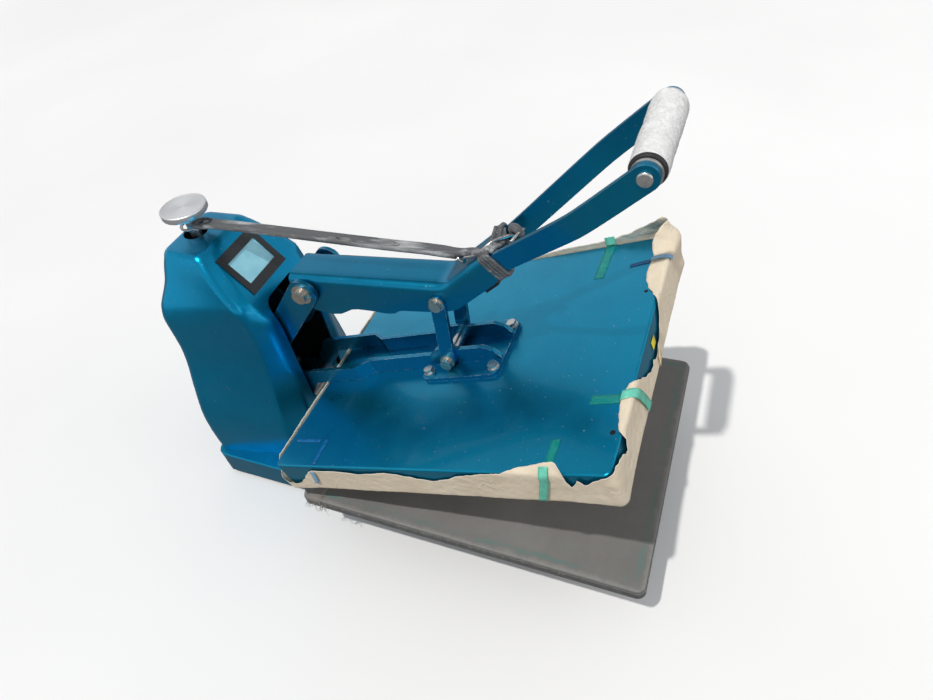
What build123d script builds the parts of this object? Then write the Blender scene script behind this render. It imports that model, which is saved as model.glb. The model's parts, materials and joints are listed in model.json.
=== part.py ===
from build123d import *
import math
import os

# Clamshell heat press, in millimetres. +Z is up, the operator stands at -Y and looks along +Y.
# Shapes are drawn with y = 0 at the middle of the lower platen, and export moves them back by
# ORIGIN_Y, so that the origin is on the table, in the middle of the footprint. "Left" is -X.
# The heat platen and the lever are modelled open, as the press rests: the platen hinge is OPEN_DEG
# away from the position in which both platens meet. "Closed" places are turned open by opened().

# ---- driving dimensions ----
PLATEN_X = 406.4
PLATEN_Y = 508.0
OPEN_DEG = 20.0
ORIGIN_Y = 116.7
GAP = 0.3

FOOT_H = 8.0
RAIL_H = 30.0
RAIL_W = 40.0
RAIL_TOP = FOOT_H + RAIL_H
PLATEN_Z = 90.0
LOWER_T = 12.0
PAD_T = 6.0
PAD_TOP = PLATEN_Z + LOWER_T + PAD_T
FACE_Z = PAD_TOP + 1.2
BLOCK_T = 24.0
COVER_TOP = 154.5
COVER_WALL = 1.5
PAPER_T = 0.5

# pivots as (y, z) at rest
HINGE = (335.0, 117.0)
LEVER_PIVOT = (252.0, 369.0)
LINK_TOP = (50.0, 384.0)
LINK_FOOT = (52.5, 277.5)
YOKE_PIVOT = (350.0, 245.0)
TRUNNION = (440.0, 325.0)
SPRING_TOP = (400.0, 120.0)

HINGE_R = 12.0
LEVER_PIN_R = 7.0
LINK_PIN_R = 6.0
YOKE_PIN_R = 10.0
RUN = 0.05

ARM_T = 6.0
ARM_FRONT_IN = 20.4
ARM_REAR_IN = 34.0
ARM_H = 25.0
BAR_T = 6.0
BAR_OUT = 25.0
LEVER_RISE = 43.0
HANDLE_W = 26.0
BEND = (38.0, 405.0)
SPLAY_START = 85.0
SPLAY_END = 229.0
GRIP_S = 313.0
GRIP_OUT = 73.0
GRIP_R = 18.0
KNOB_Y = 440.0
SCREW_R = 8.0
FRAME_IN = 48.0
FRAME_T = 6.0

HOUSING_WALL = 3.0
HOUSING_BASE = 55.0
OPENING_HALF = 44.4
OPENING_TOP = 340.0
PLINTH_HALF = 145.0
DISPLAY_LOW = (336.9, 352.8)
DISPLAY_HIGH = (381.3, 406.2)
DISPLAY_HALF = 41.8

# housing plan at a height: z, half width of the front face, its y, half width and y of the side
# ridges, half width and y of the rear
HOUSING_PLAN = [
    (55.0, 70.0, 310.6, 111.0, 335.0, 137.0, 481.0),
    (110.0, 70.0, 310.6, 110.0, 335.0, 137.0, 482.0),
    (145.0, 66.0, 310.6, 105.5, 335.0, 134.0, 482.0),
    (198.0, 63.0, 310.6, 96.0, 335.0, 122.0, 480.0),
    (240.0, 62.0, 310.6, 87.5, 335.0, 111.0, 478.0),
    (290.0, 62.0, 310.6, 82.0, 335.0, 106.0, 475.5),
    (320.0, 62.0, 310.6, 81.5, 335.0, 105.0, 476.0),
    (335.0, 61.0, 322.1, 82.0, 336.5, 103.5, 476.5),
    (353.0, 56.0, 337.1, 82.0, 339.5, 95.0, 475.0),
    (380.0, 50.0, 359.5, 74.0, 362.5, 76.0, 467.0),
    (405.0, 42.0, 380.3, 63.0, 383.5, 61.0, 466.0),
    (420.0, 34.0, 392.8, 54.0, 396.5, 52.0, 463.0),
]
HOUSING_R_CHEEK = 24.0
HOUSING_R_RIDGE = 12.0
HOUSING_R_REAR = 14.0


def polygon_x(points, x_low, x_high):
    """Solid of a closed side profile of (y, z) points between two values of x."""
    outline = Plane.YZ.offset(x_low) * make_face(Polyline(*points, close=True))
    return extrude(outline, amount=x_high - x_low)


def rod_x(centre, radius, x_low, x_high):
    """Solid round bar along X, centred at (y, z)."""
    place = Plane.YZ.offset(x_low) * Location((centre[0], centre[1], 0))
    return extrude(place * Circle(radius), amount=x_high - x_low)


def bar_x(start, end, width, x_low, x_high):
    """Flat bar with round ends between two (y, z) centres."""
    length = math.dist(start, end)
    angle = math.degrees(math.atan2(end[1] - start[1], end[0] - start[0]))
    middle = ((start[0] + end[0]) / 2, (start[1] + end[1]) / 2, 0)
    outline = Location(middle) * SlotCenterToCenter(length, width, rotation=angle)
    return extrude(Plane.YZ.offset(x_low) * outline, amount=x_high - x_low)


def box(x_low, x_high, y_low, y_high, z_low, z_high):
    size = (x_high - x_low, y_high - y_low, z_high - z_low)
    centre = ((x_low + x_high) / 2, (y_low + y_high) / 2, (z_low + z_high) / 2)
    return Location(centre) * Box(*size)


def slab(half_x, half_y, radius, z_low, z_high, y_centre=0.0):
    """Plate with rounded plan corners."""
    outline = Location((0, y_centre, z_low)) * RectangleRounded(2 * half_x, 2 * half_y, radius)
    return extrude(outline, amount=z_high - z_low)


def rod_z(x, y, radius, z_low, z_high):
    return extrude(Location((x, y, z_low)) * Circle(radius), amount=z_high - z_low)


def mirrored(shape):
    return mirror(shape, about=Plane.YZ)


def opened(shape):
    """Turn a closed place about the platen hinge to the open rest position."""
    return shape.rotate(Axis((0, HINGE[0], HINGE[1]), (1, 0, 0)), -OPEN_DEG)


def closed_point(point):
    """A (y, z) rest point of the heat platen, brought to its closed place."""
    turn = math.radians(OPEN_DEG)
    y = point[0] - HINGE[0]
    z = point[1] - HINGE[1]
    new_y = HINGE[0] + y * math.cos(turn) - z * math.sin(turn)
    new_z = HINGE[1] + y * math.sin(turn) + z * math.cos(turn)
    return (new_y, new_z)


# ---- base ----
FOOT_PLACES = [(-60, -150), (60, -150), (-60, 440), (60, 440)]


def rubber_feet():
    foot = rod_z(0, 0, 18, 0, FOOT_H)
    foot = chamfer(foot.edges().group_by(Axis.Z)[0], 2)
    return Compound(children=[Location((x, y, 0)) * foot for x, y in FOOT_PLACES])


def base_rail_right():
    outer = box(RAIL_W, 2 * RAIL_W, -175, 465, FOOT_H, RAIL_TOP)
    inner = box(RAIL_W + 3, 2 * RAIL_W - 3, -175, 465, FOOT_H + 3, RAIL_TOP - 3)
    return outer - inner


def base_cross_front():
    outer = box(-RAIL_W, RAIL_W, -165, -125, FOOT_H, RAIL_TOP)
    inner = box(-RAIL_W, RAIL_W, -162, -128, FOOT_H + 3, RAIL_TOP - 3)
    return outer - inner


BASE_PLATE_TOP = RAIL_TOP + 6


def base_cross_rear():
    return box(-2 * RAIL_W, 2 * RAIL_W, 300, 465, RAIL_TOP, BASE_PLATE_TOP)


def platen_supports():
    """Two cross tubes that carry the lower platen above the rails."""
    tubes = []
    for y in (-90, 90):
        outer = box(-90, 90, y - 20, y + 20, RAIL_TOP, PLATEN_Z - 6)
        inner = box(-90, 90, y - 17, y + 17, RAIL_TOP + 3, PLATEN_Z - 9)
        tubes.append(outer - inner)
    return Compound(children=tubes)


def support_plate():
    return slab(110, 150, 10, PLATEN_Z - 6, PLATEN_Z)


def lower_platen():
    plate = slab(PLATEN_X / 2, PLATEN_Y / 2, 12, PLATEN_Z, PLATEN_Z + LOWER_T)
    return chamfer(plate.edges().group_by(Axis.Z)[0], 1)


def platen_pad():
    return slab(PLATEN_X / 2 - 1, PLATEN_Y / 2 - 1, 11, PLATEN_Z + LOWER_T, PAD_TOP)


# ---- rear frame and what is fixed to it ----
FRAME_PROFILE = [(316, BASE_PLATE_TOP), (458, BASE_PLATE_TOP), (458, 388), (412, 388), (316, 272)]
SPRING_X = 22.0
SPRING_Y = 400.0
SPRING_FOOT_Z = 56.0


def frame_plate_right():
    plate = polygon_x(FRAME_PROFILE, FRAME_IN, FRAME_IN + FRAME_T)
    plate -= rod_x(HINGE, HINGE_R, FRAME_IN - 1, FRAME_IN + FRAME_T + 1)
    plate -= rod_x(YOKE_PIVOT, YOKE_PIN_R, FRAME_IN - 1, FRAME_IN + FRAME_T + 1)
    return plate


def frame_tie_bars():
    """Round spacers that hold the two frame plates apart; the lowest carries the springs."""
    ties = [
        rod_x((SPRING_Y, SPRING_FOOT_Z), 6, -FRAME_IN, FRAME_IN),
        rod_x((440, 180), 7, -FRAME_IN, FRAME_IN),
    ]
    return Compound(children=ties)


def platen_hinge_shaft():
    return rod_x(HINGE, HINGE_R, -FRAME_IN - FRAME_T - 8, FRAME_IN + FRAME_T + 8)


def shaft_collars():
    ring = rod_x(HINGE, 20, FRAME_IN + FRAME_T, FRAME_IN + FRAME_T + 7)
    ring -= rod_x(HINGE, HINGE_R, FRAME_IN, FRAME_IN + FRAME_T + 9)
    return Compound(children=[ring, mirrored(ring)])


def yoke_pin():
    pin = rod_x(YOKE_PIVOT, YOKE_PIN_R, -FRAME_IN - FRAME_T, FRAME_IN + FRAME_T)
    head = rod_x(YOKE_PIVOT, 15, FRAME_IN + FRAME_T, FRAME_IN + FRAME_T + 5)
    return pin + head + mirrored(head)


SCREW_SEAT_Z = 372.0


def screw_bracket():
    """Cross plate between the frame plates in which the pressure screw turns."""
    plate = box(-FRAME_IN, FRAME_IN, 416, 457, SCREW_SEAT_Z, SCREW_SEAT_Z + 10)
    return plate - rod_z(0, KNOB_Y, SCREW_R + RUN, SCREW_SEAT_Z - 1, SCREW_SEAT_Z + 11)


def plinth_cover():
    outer = slab(PLINTH_HALF, 99, 20, FOOT_H, HOUSING_BASE, 384)
    outer = chamfer(outer.edges().group_by(Axis.Z)[-1], 2)
    inner = slab(PLINTH_HALF - 3, 96, 17, FOOT_H, HOUSING_BASE - 3, 384)
    well = slab(112, 80, 15, FOOT_H, HOUSING_BASE, 396)
    mouth = box(-82, 82, 284, 300, FOOT_H, BASE_PLATE_TOP + 4)
    inlet = box(85, 113, 479, 484, 19, 39)
    switch = box(45, 67, 479, 484, 17, 41)
    return outer - inner - well - mouth - inlet - switch


def plan_loop(level, inset, lift=0.0):
    """Closed plan outline of the housing at one level, moved in by inset."""
    z, cheek, y_front, ridge, y_ridge, rear, y_rear = level
    points = [
        (-cheek, y_front + inset),
        (cheek, y_front + inset),
        (ridge - inset, y_ridge + inset * 0.6),
        (rear - inset, y_rear - inset),
        (-rear + inset, y_rear - inset),
        (-ridge + inset, y_ridge + inset * 0.6),
    ]
    half = [HOUSING_R_CHEEK, HOUSING_R_RIDGE, HOUSING_R_REAR]
    radii = [half[0]] + half + half[:0:-1]
    radii = [radius - inset for radius in radii]
    outline = FilletPolyline(*points, radius=radii, close=True)
    return Location((0, 0, z + lift)) * make_face(outline)


def housing_body(inset, base_drop, top_drop):
    """Ruled body through the plan outlines."""
    loops = []
    last = len(HOUSING_PLAN) - 1
    for index, level in enumerate(HOUSING_PLAN):
        lift = 0.0
        if index == 0:
            lift = -base_drop
        if index == last:
            lift = -top_drop
        loops.append(plan_loop(level, inset, lift))
    return loft(loops, ruled=True)


def display_place():
    """Plane of the sloping display face: x to the right, y up the slope."""
    rise = DISPLAY_HIGH[1] - DISPLAY_LOW[1]
    run = DISPLAY_HIGH[0] - DISPLAY_LOW[0]
    slope = Vector(0, run, rise).normalized()
    normal = Vector(1, 0, 0).cross(slope)
    middle = Vector(0, (DISPLAY_LOW[0] + DISPLAY_HIGH[0]) / 2, (DISPLAY_LOW[1] + DISPLAY_HIGH[1]) / 2)
    return Plane(origin=middle, x_dir=(1, 0, 0), z_dir=normal)


DISPLAY_LENGTH = math.dist(DISPLAY_LOW, DISPLAY_HIGH)
WINDOW_HALF = (32.0, 28.0)


def rear_housing():
    shell = housing_body(0, 0, 0) - housing_body(HOUSING_WALL, 1, HOUSING_WALL)
    half = OPENING_HALF
    arch = [(-half, 50), (half, 50), (half, OPENING_TOP), (-half, OPENING_TOP)]
    outline = make_face(FilletPolyline(*arch, radius=[1, 1, 18, 18], close=True))
    mouth = extrude(Plane.XZ.offset(-300) * outline, amount=-50)
    shell -= mouth
    shell -= rod_z(0, KNOB_Y, 18, 400, 430)
    window = display_place() * Box(2 * WINDOW_HALF[0] + 4, 2 * WINDOW_HALF[1] + 4, 20)
    return shell - window


def display_bezel():
    place = display_place()
    plate = place * Location((0, 0, 1.2)) * Box(2 * DISPLAY_HALF, DISPLAY_LENGTH, 1.6)
    window = place * Box(2 * WINDOW_HALF[0], 2 * WINDOW_HALF[1] - 16, 10)
    return plate - window


def display_panel():
    place = display_place()
    panel = place * Location((0, 0, -2.2)) * Box(2 * WINDOW_HALF[0] + 2, 2 * WINDOW_HALF[1] + 2, 4.6)
    return panel


def power_inlet():
    body = box(85.2, 112.8, 466.5, 483, 19.2, 38.8)
    mouth = box(89, 109, 469.5, 484, 22.5, 35.5)
    flange = box(82, 116, 483, 484.6, 16, 42)
    flange -= box(89, 109, 482, 486, 22.5, 35.5)
    pins = [box(x - 1, x + 1, 469, 480, 27, 31) for x in (93, 99, 105)]
    return body - mouth + flange + pins[0] + pins[1] + pins[2]


SWITCH_AXIS = (479.5, 29.0)
SWITCH_TILT = 7.8


def switch_body():
    shell = box(45.2, 66.8, 466.5, 483, 17.2, 40.8)
    flange = box(42.5, 69.5, 483, 484.6, 14.5, 43.5)
    well = box(49, 63, 469.5, 486, 19.4, 38.6)
    return shell + flange - well


def switch_rocker():
    """Rocker with its upper half out."""
    local = [(-5.5, -7.6), (6.6, -8.4), (3.0, 0), (6.6, 8.4), (-5.5, 7.6)]
    profile = [(SWITCH_AXIS[0] + y, SWITCH_AXIS[1] + z) for y, z in local]
    rocker = polygon_x(profile, 49.4, 62.6)
    return rocker.rotate(Axis((0, SWITCH_AXIS[0], SWITCH_AXIS[1]), (1, 0, 0)), -SWITCH_TILT)


def lift_springs():
    """Two close-wound tension springs between the low tie bar and the platen arms' rear rod."""
    top = SPRING_TOP[1]
    coil = rod_z(SPRING_X, SPRING_Y, 9, SPRING_FOOT_Z + 12, top - 12)
    coil -= rod_z(SPRING_X, SPRING_Y, 6.5, SPRING_FOOT_Z + 14, top - 14)
    return Compound(children=[coil, mirrored(coil)])


# ---- pressure screw and yoke ----
KNOB_TOP = 464.0


def pressure_knob():
    disc = rod_z(0, KNOB_Y, 33, KNOB_TOP - 10, KNOB_TOP)
    disc = chamfer(disc.edges().group_by(Axis.Z)[-1], 0.8)
    hub = rod_z(0, KNOB_Y, 13, KNOB_TOP - 22, KNOB_TOP - 10)
    return disc + hub - rod_z(0, KNOB_Y, SCREW_R, KNOB_TOP - 30, KNOB_TOP - 6)


def pressure_screw():
    shank = rod_z(0, KNOB_Y, SCREW_R, 292, KNOB_TOP - 6)
    collar = rod_z(0, KNOB_Y, 14, SCREW_SEAT_Z + 10 + RUN, SCREW_SEAT_Z + 18)
    lower = rod_z(0, KNOB_Y, 14, SCREW_SEAT_Z - 8, SCREW_SEAT_Z - RUN)
    return shank + collar + lower


def yoke_plate_right():
    front = bar_x(LEVER_PIVOT, YOKE_PIVOT, 42, ARM_REAR_IN, ARM_REAR_IN + ARM_T)
    rear = bar_x(YOKE_PIVOT, TRUNNION, 38, ARM_REAR_IN, ARM_REAR_IN + ARM_T)
    plate = front + rear
    x_low = ARM_REAR_IN - 1
    x_high = ARM_REAR_IN + ARM_T + 1
    plate -= rod_x(LEVER_PIVOT, LEVER_PIN_R, x_low, x_high)
    plate -= rod_x(YOKE_PIVOT, YOKE_PIN_R + RUN, x_low, x_high)
    plate -= rod_x(TRUNNION, 10, x_low, x_high)
    return plate


def yoke_spacer():
    """Tube on the yoke pin that ties the two yoke plates."""
    tube = rod_x(YOKE_PIVOT, 15, -ARM_REAR_IN, ARM_REAR_IN)
    return tube - rod_x(YOKE_PIVOT, YOKE_PIN_R + RUN, -ARM_REAR_IN - 1, ARM_REAR_IN + 1)


def trunnion_nut():
    body = rod_x(TRUNNION, 14, -ARM_REAR_IN, ARM_REAR_IN)
    journals = rod_x(TRUNNION, 10, -ARM_REAR_IN - ARM_T, ARM_REAR_IN + ARM_T)
    slot = box(-SCREW_R - 0.4, SCREW_R + 0.4, KNOB_Y - SCREW_R - 3, KNOB_Y + SCREW_R + 3, 290, 360)
    return body + journals - slot


def lever_pivot_bolt():
    outer = ARM_REAR_IN + ARM_T
    shank = rod_x(LEVER_PIVOT, LEVER_PIN_R, -outer - 10, outer + 10)
    washer = rod_x(LEVER_PIVOT, 15, outer, outer + 2.5)
    head = rod_x(LEVER_PIVOT, 10, outer + 2.5, outer + 10)
    return shank + washer + head + mirrored(washer) + mirrored(head)


# ---- lever ----
def arm_frame():
    """Directions of the raised handle arms: along them, and square to them towards the front."""
    rise = math.radians(LEVER_RISE)
    along = (-math.cos(rise), math.sin(rise))
    square = (-math.sin(rise), -math.cos(rise))
    return along, square


def arm_point(distance, depth):
    """(y, z) at a distance from the bend along the arm's top edge and a depth below it."""
    along, square = arm_frame()
    y = BEND[0] + distance * along[0] + depth * square[0]
    z = BEND[1] + distance * along[1] + depth * square[1]
    return (y, z)


TOP_T = 5.0
PLATE_END = 70.0
LEVER_REAR = (276.0, 383.0)
UNDER_BEND = (BEND[0] - 2.161, BEND[1] - 4.822)
GRIP_CENTRE = arm_point(GRIP_S, HANDLE_W / 2)


def lever_top_plate():
    """Folded web over the two lever bars."""
    profile = [
        LEVER_REAR,
        BEND,
        arm_point(PLATE_END, 0),
        arm_point(PLATE_END, TOP_T),
        UNDER_BEND,
        (LEVER_REAR[0], LEVER_REAR[1] - TOP_T),
    ]
    return polygon_x(profile, -BAR_OUT, BAR_OUT)


def lever_bar_right():
    """One side bar: deep lobe at the pivot, bend, and the arm that splays out to the grip."""
    low = TOP_T
    profile = [
        (LEVER_REAR[0], LEVER_REAR[1] - low),
        UNDER_BEND,
        arm_point(SPLAY_START, low),
        arm_point(SPLAY_START, HANDLE_W),
        arm_point(74, HANDLE_W),
        arm_point(66, HANDLE_W + 5),
        arm_point(-8, HANDLE_W + 5),
        (36, 370),
        (70, 363),
        (111, 357),
        (117, 351),
        (149, 348),
        (186, 343),
        (206, 331),
        (236, 329),
        (264, 340),
        (276, 356),
    ]
    bar = polygon_x(profile, BAR_OUT - BAR_T, BAR_OUT)
    along, square = arm_frame()
    start = arm_point(SPLAY_START, 0)
    # local frame of the arm: u along it, v outwards in X, extruded square to the arm
    place = Plane(
        origin=(0, start[0], start[1]),
        x_dir=(0, along[0], along[1]),
        z_dir=(0, square[0], square[1]),
    )
    flip = 1.0 if place.y_dir.X > 0 else -1.0
    inner = BAR_OUT - BAR_T
    end_in = GRIP_OUT - BAR_T
    run = SPLAY_END - SPLAY_START
    tip = GRIP_S - SPLAY_START + HANDLE_W / 2
    band = [
        (-4, inner), (0, inner), (run, end_in), (tip, end_in),
        (tip, GRIP_OUT), (run, GRIP_OUT), (0, BAR_OUT), (-4, BAR_OUT),
    ]
    band = [(u, flip * v) for u, v in band]
    arm = extrude(place * make_face(Polyline(*band, close=True)), amount=HANDLE_W)
    keep = rod_x(GRIP_CENTRE, HANDLE_W / 2, end_in - 1, GRIP_OUT + 1)
    back = [
        arm_point(SPLAY_START - 6, 0),
        arm_point(GRIP_S, 0),
        arm_point(GRIP_S, HANDLE_W),
        arm_point(SPLAY_START - 6, HANDLE_W),
    ]
    keep += polygon_x(back, 0, GRIP_OUT + 1)
    bar += arm & keep
    bar -= rod_x(LEVER_PIVOT, 10, 0, 40)
    bar -= rod_x(GRIP_CENTRE, 5, 0, 80)
    return bar


def lever_bush():
    """Tube welded through both bars, running on the pivot bolt."""
    tube = rod_x(LEVER_PIVOT, 10, -ARM_REAR_IN + 0.5, ARM_REAR_IN - 0.5)
    return tube - rod_x(LEVER_PIVOT, LEVER_PIN_R + RUN, -40, 40)


def bump_stop():
    """Rubber block between the lever bars, under the bend."""
    profile = [arm_point(36, 18), arm_point(60, 18), arm_point(60, 38), arm_point(36, 38)]
    return polygon_x(profile, -BAR_OUT + BAR_T, BAR_OUT - BAR_T)


def grip_tube():
    end = GRIP_OUT - BAR_T
    tube = rod_x(GRIP_CENTRE, 11, -end, end)
    tube += rod_x(GRIP_CENTRE, 14.5, end - 4, end)
    tube += rod_x(GRIP_CENTRE, 14.5, -end, -end + 4)
    return tube - rod_x(GRIP_CENTRE, 4, -end - 1, end + 1)


def grip_foam():
    end = GRIP_OUT - BAR_T - 4
    return rod_x(GRIP_CENTRE, GRIP_R - 1.2, -end, end) - rod_x(GRIP_CENTRE, 11, -end, end)


def grip_film():
    end = GRIP_OUT - BAR_T - 9
    return rod_x(GRIP_CENTRE, GRIP_R, -end, end) - rod_x(GRIP_CENTRE, GRIP_R - 1.2, -end, end)


def grip_screws():
    shank = rod_x(GRIP_CENTRE, 4, GRIP_OUT - BAR_T - 30, GRIP_OUT)
    head = rod_x(GRIP_CENTRE, 7.5, GRIP_OUT, GRIP_OUT + 3)
    head = fillet(head.edges().group_by(Axis.X)[-1], 2)
    screw = shank + head
    return Compound(children=[screw, mirrored(screw)])


# ---- tie-down strap ----
STRAP_Z = 432.0
WRAP_S = (82.0, 108.0)


def strap_hook_rear():
    """Wire loop round the knob hub."""
    return Location((0, KNOB_Y, STRAP_Z)) * Torus(17, 2)


def strap_span():
    """The strap's free stretch, from the rear hook to the front hook."""
    path = [(418, STRAP_Z + 2), (240, 441), (52, 449)]
    lower = [(y, z - 4) for y, z in reversed(path)]
    return polygon_x(path + lower, -12, 12)


def strap_hook_front():
    """Wire hook between the strap's end and the wrap."""
    start = (46.0, 447.0)
    end = arm_point(WRAP_S[0] - 3, -10)
    cross = rod_x(start, 2, -14, 14)
    wire = bar_x(start, end, 4, -14, -10)
    tip = bar_x(start, (start[0] - 22, start[1] + 2), 4, 10, 14)
    return cross + wire + tip


def strap_wrap():
    """The strap's turns round the left handle arm."""
    outer = [
        arm_point(WRAP_S[0], -8), arm_point(WRAP_S[1], -8),
        arm_point(WRAP_S[1], HANDLE_W + 8), arm_point(WRAP_S[0], HANDLE_W + 8),
    ]
    inner = [
        arm_point(WRAP_S[0] - 5, -GAP), arm_point(WRAP_S[1] + 5, -GAP),
        arm_point(WRAP_S[1] + 5, HANDLE_W + GAP), arm_point(WRAP_S[0] - 5, HANDLE_W + GAP),
    ]
    turns = polygon_x(outer, -40, -12)
    return turns - polygon_x(inner, -34.5, -17.5)


# ---- front links ----
LINK_IN = 27.0
LINK_T = 6.0
LINK_W = 20.6


def link_right():
    bar = bar_x(LINK_TOP, LINK_FOOT, LINK_W, LINK_IN, LINK_IN + LINK_T)
    bar -= rod_x(LINK_TOP, 6, LINK_IN - 1, LINK_IN + LINK_T + 1)
    return bar - rod_x(LINK_FOOT, LINK_PIN_R, LINK_IN - 1, LINK_IN + LINK_T + 1)


def link_top_bolts():
    outer = LINK_IN + LINK_T
    shank = rod_x(LINK_TOP, 6, LINK_IN - 1.2, outer + 8)
    washer = rod_x(LINK_TOP, 10.5, outer, outer + 2)
    head = rod_x(LINK_TOP, 8, outer + 2, outer + 8)
    bolt = shank + washer + head
    return Compound(children=[bolt, mirrored(bolt)])


def link_pin():
    """Pin through both links and the ears, with washers and nuts outside."""
    outer = LINK_IN + LINK_T
    shank = rod_x(LINK_FOOT, LINK_PIN_R, -outer - 9, outer + 9)
    washer = rod_x(LINK_FOOT, 10.5, outer, outer + 2)
    nut = rod_x(LINK_FOOT, 8, outer + 2, outer + 9)
    return shank + washer + nut + mirrored(washer) + mirrored(nut)


# ---- heat platen, modelled closed and then opened ----
EAR = closed_point(LINK_FOOT)
SPRING_TOP_CLOSED = closed_point(SPRING_TOP)
PLATE_TOP = COVER_TOP + 6
BRACKET_BOLTS = [(x, y) for x in (-40, 40) for y in (-57, 48)]


ELEMENT_Z = FACE_Z + BLOCK_T - 8


def heat_platen():
    """Aluminium block with a groove for the heating element in its upper face."""
    block = slab(PLATEN_X / 2 - 2, PLATEN_Y / 2 - 3, 10, FACE_Z, FACE_Z + BLOCK_T)
    top = FACE_Z + BLOCK_T
    groove = slab(132, 182, 40, ELEMENT_Z, top) - slab(122, 172, 30, ELEMENT_Z, top)
    return opened(block - groove)


def heating_element():
    """Flat-topped heating rod bent to a ring, lying in the groove."""
    outer = slab(131.5, 181.5, 39.5, ELEMENT_Z, FACE_Z + BLOCK_T - 0.2)
    inner = slab(122.5, 172.5, 30.5, ELEMENT_Z, FACE_Z + BLOCK_T - 0.2)
    return opened(outer - inner)


def insulation_blanket():
    top = COVER_TOP - COVER_WALL - GAP
    return opened(slab(PLATEN_X / 2 - 6, PLATEN_Y / 2 - 8, 8, FACE_Z + BLOCK_T, top))


def platen_cover():
    half_x = PLATEN_X / 2 - 0.2
    half_y = PLATEN_Y / 2 - 1.0
    outer = slab(half_x, half_y, 9, FACE_Z + 3, COVER_TOP)
    outer = fillet(outer.edges().group_by(Axis.Z)[-1], 3)
    inner = slab(half_x - COVER_WALL, half_y - COVER_WALL, 8, FACE_Z + 3, COVER_TOP - COVER_WALL)
    return opened(outer - inner)


def bracket_plate():
    plate = slab(54, 62, 12, COVER_TOP, PLATE_TOP, -4)
    for x, y in BRACKET_BOLTS:
        plate -= rod_z(x, y, 4.2, COVER_TOP - 1, PLATE_TOP + 1)
    return opened(plate)


def bracket_bolts():
    bolts = []
    for x, y in BRACKET_BOLTS:
        washer = rod_z(x, y, 8.5, PLATE_TOP, PLATE_TOP + 1.6)
        head = Location((x, y, PLATE_TOP + 1.6)) * extrude(RegularPolygon(7.2, 6), amount=5.4)
        bolts.append(opened(rod_z(x, y, 4.2, COVER_TOP, PLATE_TOP) + washer + head))
    return Compound(children=bolts)


JOGGLE = (161.0, 182.0)
ARM_REAR_Y = 285.0


def platen_arm_right():
    """Bar on the cover: ear and nose in front, joggle outwards, then down to the hinge."""
    front_out = ARM_FRONT_IN + ARM_T
    rear_out = ARM_REAR_IN + ARM_T
    band = [
        (ARM_FRONT_IN, -68), (ARM_FRONT_IN, JOGGLE[0]), (ARM_REAR_IN, JOGGLE[1]),
        (ARM_REAR_IN, HINGE[0] + 40), (rear_out, HINGE[0] + 40), (rear_out, JOGGLE[1]),
        (front_out, JOGGLE[0]), (front_out, -68),
    ]
    low = COVER_TOP - 60
    sheet = extrude(Location((0, 0, low)) * make_face(Polyline(*band, close=True)), amount=140)
    arm_low = COVER_TOP + 0.4
    side = [
        (-66, PLATE_TOP), (59, PLATE_TOP), (60, arm_low), (ARM_REAR_Y - 4, arm_low),
        (HINGE[0] - 14, HINGE[1] + 2), (HINGE[0] + 12, HINGE[1] + 16), (ARM_REAR_Y + 14, COVER_TOP + ARM_H),
        (44, COVER_TOP + ARM_H), (30, COVER_TOP + 34), (2, COVER_TOP + 34), (-8, COVER_TOP + 30),
        (-44, COVER_TOP + 30), (-58, COVER_TOP + 22), (-65, COVER_TOP + 10),
    ]
    outline = polygon_x(side, 0, 60)
    outline += rod_x(HINGE, 22, 0, 60)
    crank = bar_x(HINGE, SPRING_TOP_CLOSED, 24, 0, 60)
    arm = sheet & (outline + crank)
    arm -= rod_x(HINGE, 17, 0, 60)
    arm -= rod_x(EAR, 9, 0, 60)
    arm -= rod_x(SPRING_TOP_CLOSED, 6, 0, 60)
    return opened(arm)


def ear_spacer():
    """Tube between the ears that the link pin runs in."""
    reach = ARM_FRONT_IN + ARM_T
    tube = rod_x(EAR, 9, -reach, reach) - rod_x(EAR, LINK_PIN_R + RUN, -reach - 1, reach + 1)
    return opened(tube)


def arm_hub():
    """Tube that joins both arms and runs on the hinge shaft."""
    reach = ARM_REAR_IN + ARM_T + 7.5
    tube = rod_x(HINGE, 17, -reach, reach) - rod_x(HINGE, HINGE_R + RUN, -reach - 1, reach + 1)
    return opened(tube)


def spring_rod():
    reach = ARM_REAR_IN + ARM_T
    return opened(rod_x(SPRING_TOP_CLOSED, 6, -reach, reach))


def paper_wrap():
    """Kraft sheet under the heat platen, folded up its four sides."""
    half_x = PLATEN_X / 2 + 2.0
    half_y = PLATEN_Y / 2 + 1.6
    top = COVER_TOP - 6
    outer = slab(half_x, half_y, 11, FACE_Z - PAPER_T - 0.1, top)
    inner = slab(half_x - PAPER_T - 0.6, half_y - PAPER_T - 0.6, 10, FACE_Z - 0.1, top + 1)
    return opened(outer - inner)


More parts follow.
